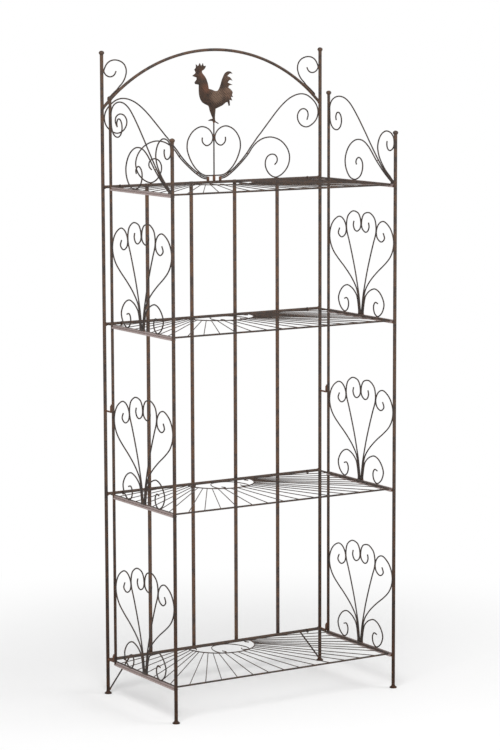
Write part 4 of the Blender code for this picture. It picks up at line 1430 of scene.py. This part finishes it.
@dataclass
class Shelves:
    """The four shelves, each a closed wire frame with a sunburst of rays, which tip up."""

    layout: Layout
    dresser: Dresser
    hinge_place: float = 0.1764
    side: float = 0.340
    front: float = -0.3499
    wire: float = 0.0025
    corner: float = 0.008
    ray: float = 0.0012
    ray_edge: float = 0.0002
    focus: float = 0.0486
    front_share: float = 0.882
    front_count: int = 6
    side_shares: Span = (0.878, 0.149)
    side_count: int = 7
    ring_bend: float = 0.1000
    ring_setback: float = -0.0064
    ring_wire: float = 0.0015
    rosette_wire: float = 0.0013
    bead: float = 0.0019

    def build(self) -> None:
        """Make one shelf in its two parts and repeat it at every level."""
        frame, inner_ends = self.bend_frame()
        burst, outer_ends = self.bend_sunburst()
        welds = weld_beads("shelf_welds", [(end, self.bead) for end in [*inner_ends, *outer_ends]])
        for number, height in enumerate(self.layout.levels, start=1):
            body, place = f"shelf_{number}", (0, self.hinge_place, height)
            self.dresser.repeat(frame, place, Iron.SHELF, body, f"{body}_frame")
            self.dresser.repeat(burst, place, Iron.SHELF, body, f"{body}_sunburst")
            self.dresser.dress(copied(welds, f"{body}_welds", place), Iron.FITTING, body)
        discard(frame, burst, welds)

    def targets(self) -> list[Vector]:
        """Where the rays of the right half end: along the side wire, then along the front wire.

        Returns:
            The places, from the rear round to the front's middle.
        """
        rear =self.layout.back - self.hinge_place
        first, last = (rear - share * self.layout.depth for share in self.side_shares)
        step = (last - first) / (self.side_count - 1)
        places = [Vector((self.side, first + index * step, 0)) for index in range(self.side_count)]
        step = self.front_share * self.side / self.front_count
        return places + [Vector((index * step, self.front, 0)) for index in range(self.front_count + 1)]

    def ring_start(self, target: Vector) -> Optional[Vector]:
        """Where the line from the rays' focus to a target leaves the half ring.

        Args:
            target: end of the ray.

        Returns:
            The place on the ring, or nothing if the line passes beside it.
        """
        start, ring = Vector((0, self.focus, 0)), Vector((0, self.ring_setback, 0))
        line = (target - start).normalized()
        along = (ring - start).dot(line)
        aside = (start + line * along - ring).length
        if aside >= self.ring_bend:
            return None
        place = start + line * (along + math.sqrt(self.ring_bend**2 - aside**2))
        return place if place.y < ring.y else None

    def bend_rays(self, ends: Iterable[tuple[Vector, Vector]]) -> tuple[Item, list[Vector]]:
        """Lay rays and their mirror images; one in the middle is its own.

        Args:
            ends: start and end of each ray of the right half.

        Returns:
            The rays, and where they are welded on.
        """
        rays = Wirework("rays", self.ray, sides=8)
        welds = []
        for start, end in ends:
            for hand in Hand if end.x else (Hand.RIGHT,):
                mirror = Vector((hand.value, 1, 1))
                rays.straight(start * mirror, end * mirror)
                welds += [start * mirror, end * mirror]
        return rays.finish(edge=self.ray_edge), welds

    def bend_frame(self) -> tuple[Item, list[Vector]]:
        """Bend the closed frame and add the rays that start from its rear wire.

        Returns:
            The frame, and where its rays are welded on.
        """
        work = Wirework("frame", self.wire, sides=12, fineness=1)
        loop = []
        rear, front = -self.corner, self.front + self.corner
        for index, (turn, along) in enumerate(((1, rear), (-1, rear), (-1, front), (1, front))):
            start = index * QUARTER
            for across, forward in arc(self.corner, start, start + QUARTER, CORNER_STEPS):
                loop.append(Vector((turn * (self.side - self.corner) + across, along + forward, 0)))
        work.bend(loop, closed=True)
        frame = work.finish()
        focus = Vector((0, self.focus, 0))
        ends = []
        for target in self.targets():
            if not self.ring_start(target):
                ends.append((focus.lerp(target, focus.y / (focus.y - target.y)), target))
        rays, welds = self.bend_rays(ends)
        return united("frame", [frame, rays]), welds

    def bend_sunburst(self) -> tuple[Item, list[Vector]]:
        """Bend the half ring with its rosette and add the rays that run from it.

        Returns:
            The sunburst, and where its rays are welded on.
        """
        starts = [(self.ring_start(target), target) for target in self.targets()]
        rays, welds = self.bend_rays([(start, target) for start, target in starts if start])
        curve = arc(self.ring_bend, -QUARTER, 0, RING_STEPS)[:-1] + laid_out(ROSETTE_CURL, 0)
        ring = Wirework("ring", self.ring_wire)
        ring.bend(self.mirrored(curve))
        rosette = Wirework("rosette", self.rosette_wire)
        rosette.bend(self.mirrored(laid_out(ROSETTE_ARCH, 0)))
        return united("sunburst", [ring.finish(), rosette.finish(), rays]), welds

    def mirrored(self, half: Sequence[Span]) -> list[Vector]:
        """Points of a half and their mirror images, set where the ring is."""
        ring = Vector((0, self.ring_setback, 0))
        whole = [(-across, along) for across, along in reversed(half[1:])] + list(half)
        return [Vector((*place, 0)) + ring for place in whole]


class Lamp(NamedTuple):
    """Soft square lamp: its name, place, size in metres and power in watts."""

    name: str
    place: Place
    size: float
    power: float


@dataclass(frozen=True)
class Studio:
    """Camera, floor, world and lamps."""

    eye: Row = (-3.8504, -6.1985, 1.9033)
    pitch: float = 0.1394
    yaw: float = -0.5562
    roll: float = 0.0031
    focal_pixels: float = 2713.5
    image_width: int = 500
    sensor: float = 36.0
    far: float = 200.0
    floor_size: float = 60.0
    floor_sides: int = 96
    floor_colour: Colour = (0.93, 0.93, 0.93)
    floor_roughness: float = 0.9
    floor_fade: Span = (0.45, 1.7)
    world_light: float = 0.54
    aim: Row = (0, 0, 1.3)
    lamps: tuple[Lamp, ...] = (
        Lamp("key_lamp", (-2.2, -2.4, 3.8), 2.4, 124.0),
        Lamp("fill_lamp", (2.6, -2.2, 3.4), 2.0, 58.0),
    )

    def build(self) -> None:
        """Set up the whole studio."""
        bpy.context.scene.view_settings.view_transform = "Standard"
        self.place_camera()
        self.lay_floor()
        self.light_world()
        self.hang_lamps()

    def place_camera(self) -> None:
        """Stand the camera where the photograph was taken from."""
        rotation = (QUARTER - self.pitch, self.roll, self.yaw)
        bpy.ops.object.camera_add(location=self.eye, rotation=rotation)
        camera = bpy.context.object
        camera.name = "photo_camera"
        camera.data.sensor_fit = "HORIZONTAL"
        camera.data.sensor_width = self.sensor
        camera.data.lens = self.focal_pixels * self.sensor / self.image_width
        camera.data.clip_end = self.far
        bpy.context.scene.camera = camera

    def lay_floor(self) -> None:
        """Lay the pale floor, which turns into the white backdrop away from the etagere."""
        deselect_all()
        bpy.ops.mesh.primitive_circle_add(
            vertices=self.floor_sides, radius=self.floor_size / 2, fill_type="NGON", location=(0, 0, 0)
        )
        floor = bpy.context.object
        floor.name = "floor"
        floor.data.materials.append(self.floor_paint())

    def floor_paint(self) -> bpy.types.Material:
        """Pale paint near the etagere that fades into plain white, for the camera and for gloss.

        Returns:
            The floor's material.
        """
        paint = bpy.data.materials.new("pale_floor")
        nodes = Nodes(paint)
        shader = nodes.tree.nodes["Principled BSDF"]
        look = {"Base Color": (*self.floor_colour, 1.0), "Roughness": self.floor_roughness}
        nodes.feed(shader, look | {"Specular IOR Level": 0.0})
        place = nodes.add("TexCoord", "Object")
        distance = nodes.add("VectorMath", "Value", {0: place}, operation="LENGTH")
        fade = nodes.ranged(distance, self.floor_fade, (0.0, 1.0), smooth=True)
        surfaces = {
            "Fac": nodes.calculated("MULTIPLY", fade, nodes.seen()),
            1: shader.outputs["BSDF"],
            2: nodes.add("Emission", "Emission", {"Color": WHITE}),
        }
        surface = nodes.add("MixShader", "Shader", surfaces)
        nodes.feed(nodes.tree.nodes["Material Output"], {"Surface": surface})
        return paint

    def light_world(self) -> None:
        """Give soft light from all sides and a white background to the camera and to gloss."""
        world = bpy.data.worlds.new("studio")
        bpy.context.scene.world = world
        nodes = Nodes(world)
        nodes.tree.nodes.clear()
        surfaces = {"Fac": nodes.seen()}
        for index, strength in enumerate((self.world_light, 1.0), start=1):
            surfaces[index] = nodes.add("Background", "Background", {"Color": WHITE, "Strength": strength})
        surface = nodes.add("MixShader", "Shader", surfaces)
        nodes.feed(nodes.tree.nodes.new("ShaderNodeOutputWorld"), {"Surface": surface})

    def hang_lamps(self) -> None:
        """Hang a wide soft lamp to the left and a weaker one to the right, in front."""
        for name, place, size, power in self.lamps:
            turn = (Vector(self.aim) - Vector(place)).to_track_quat("-Z", "Y").to_euler()
            bpy.ops.object.light_add(type="AREA", radius=size, location=place, rotation=turn)
            lamp = bpy.context.object
            lamp.name = name
            lamp.data.energy = power
            lamp.data.size = size


def main() -> None:
    """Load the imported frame, dress every sub-assembly and set up the studio."""
    logging.basicConfig(level=logging.INFO, format="%(name)s: %(message)s")
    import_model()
    layout = Layout()
    dresser = Dresser()
    BackFrame(layout, dresser).build()
    SideFrames(layout, dresser).build()
    Shelves(layout, dresser).build()
    Studio().build()
    LOG.info("%d pieces dressed", dresser.count)


if __name__ == "__main__":
    main()
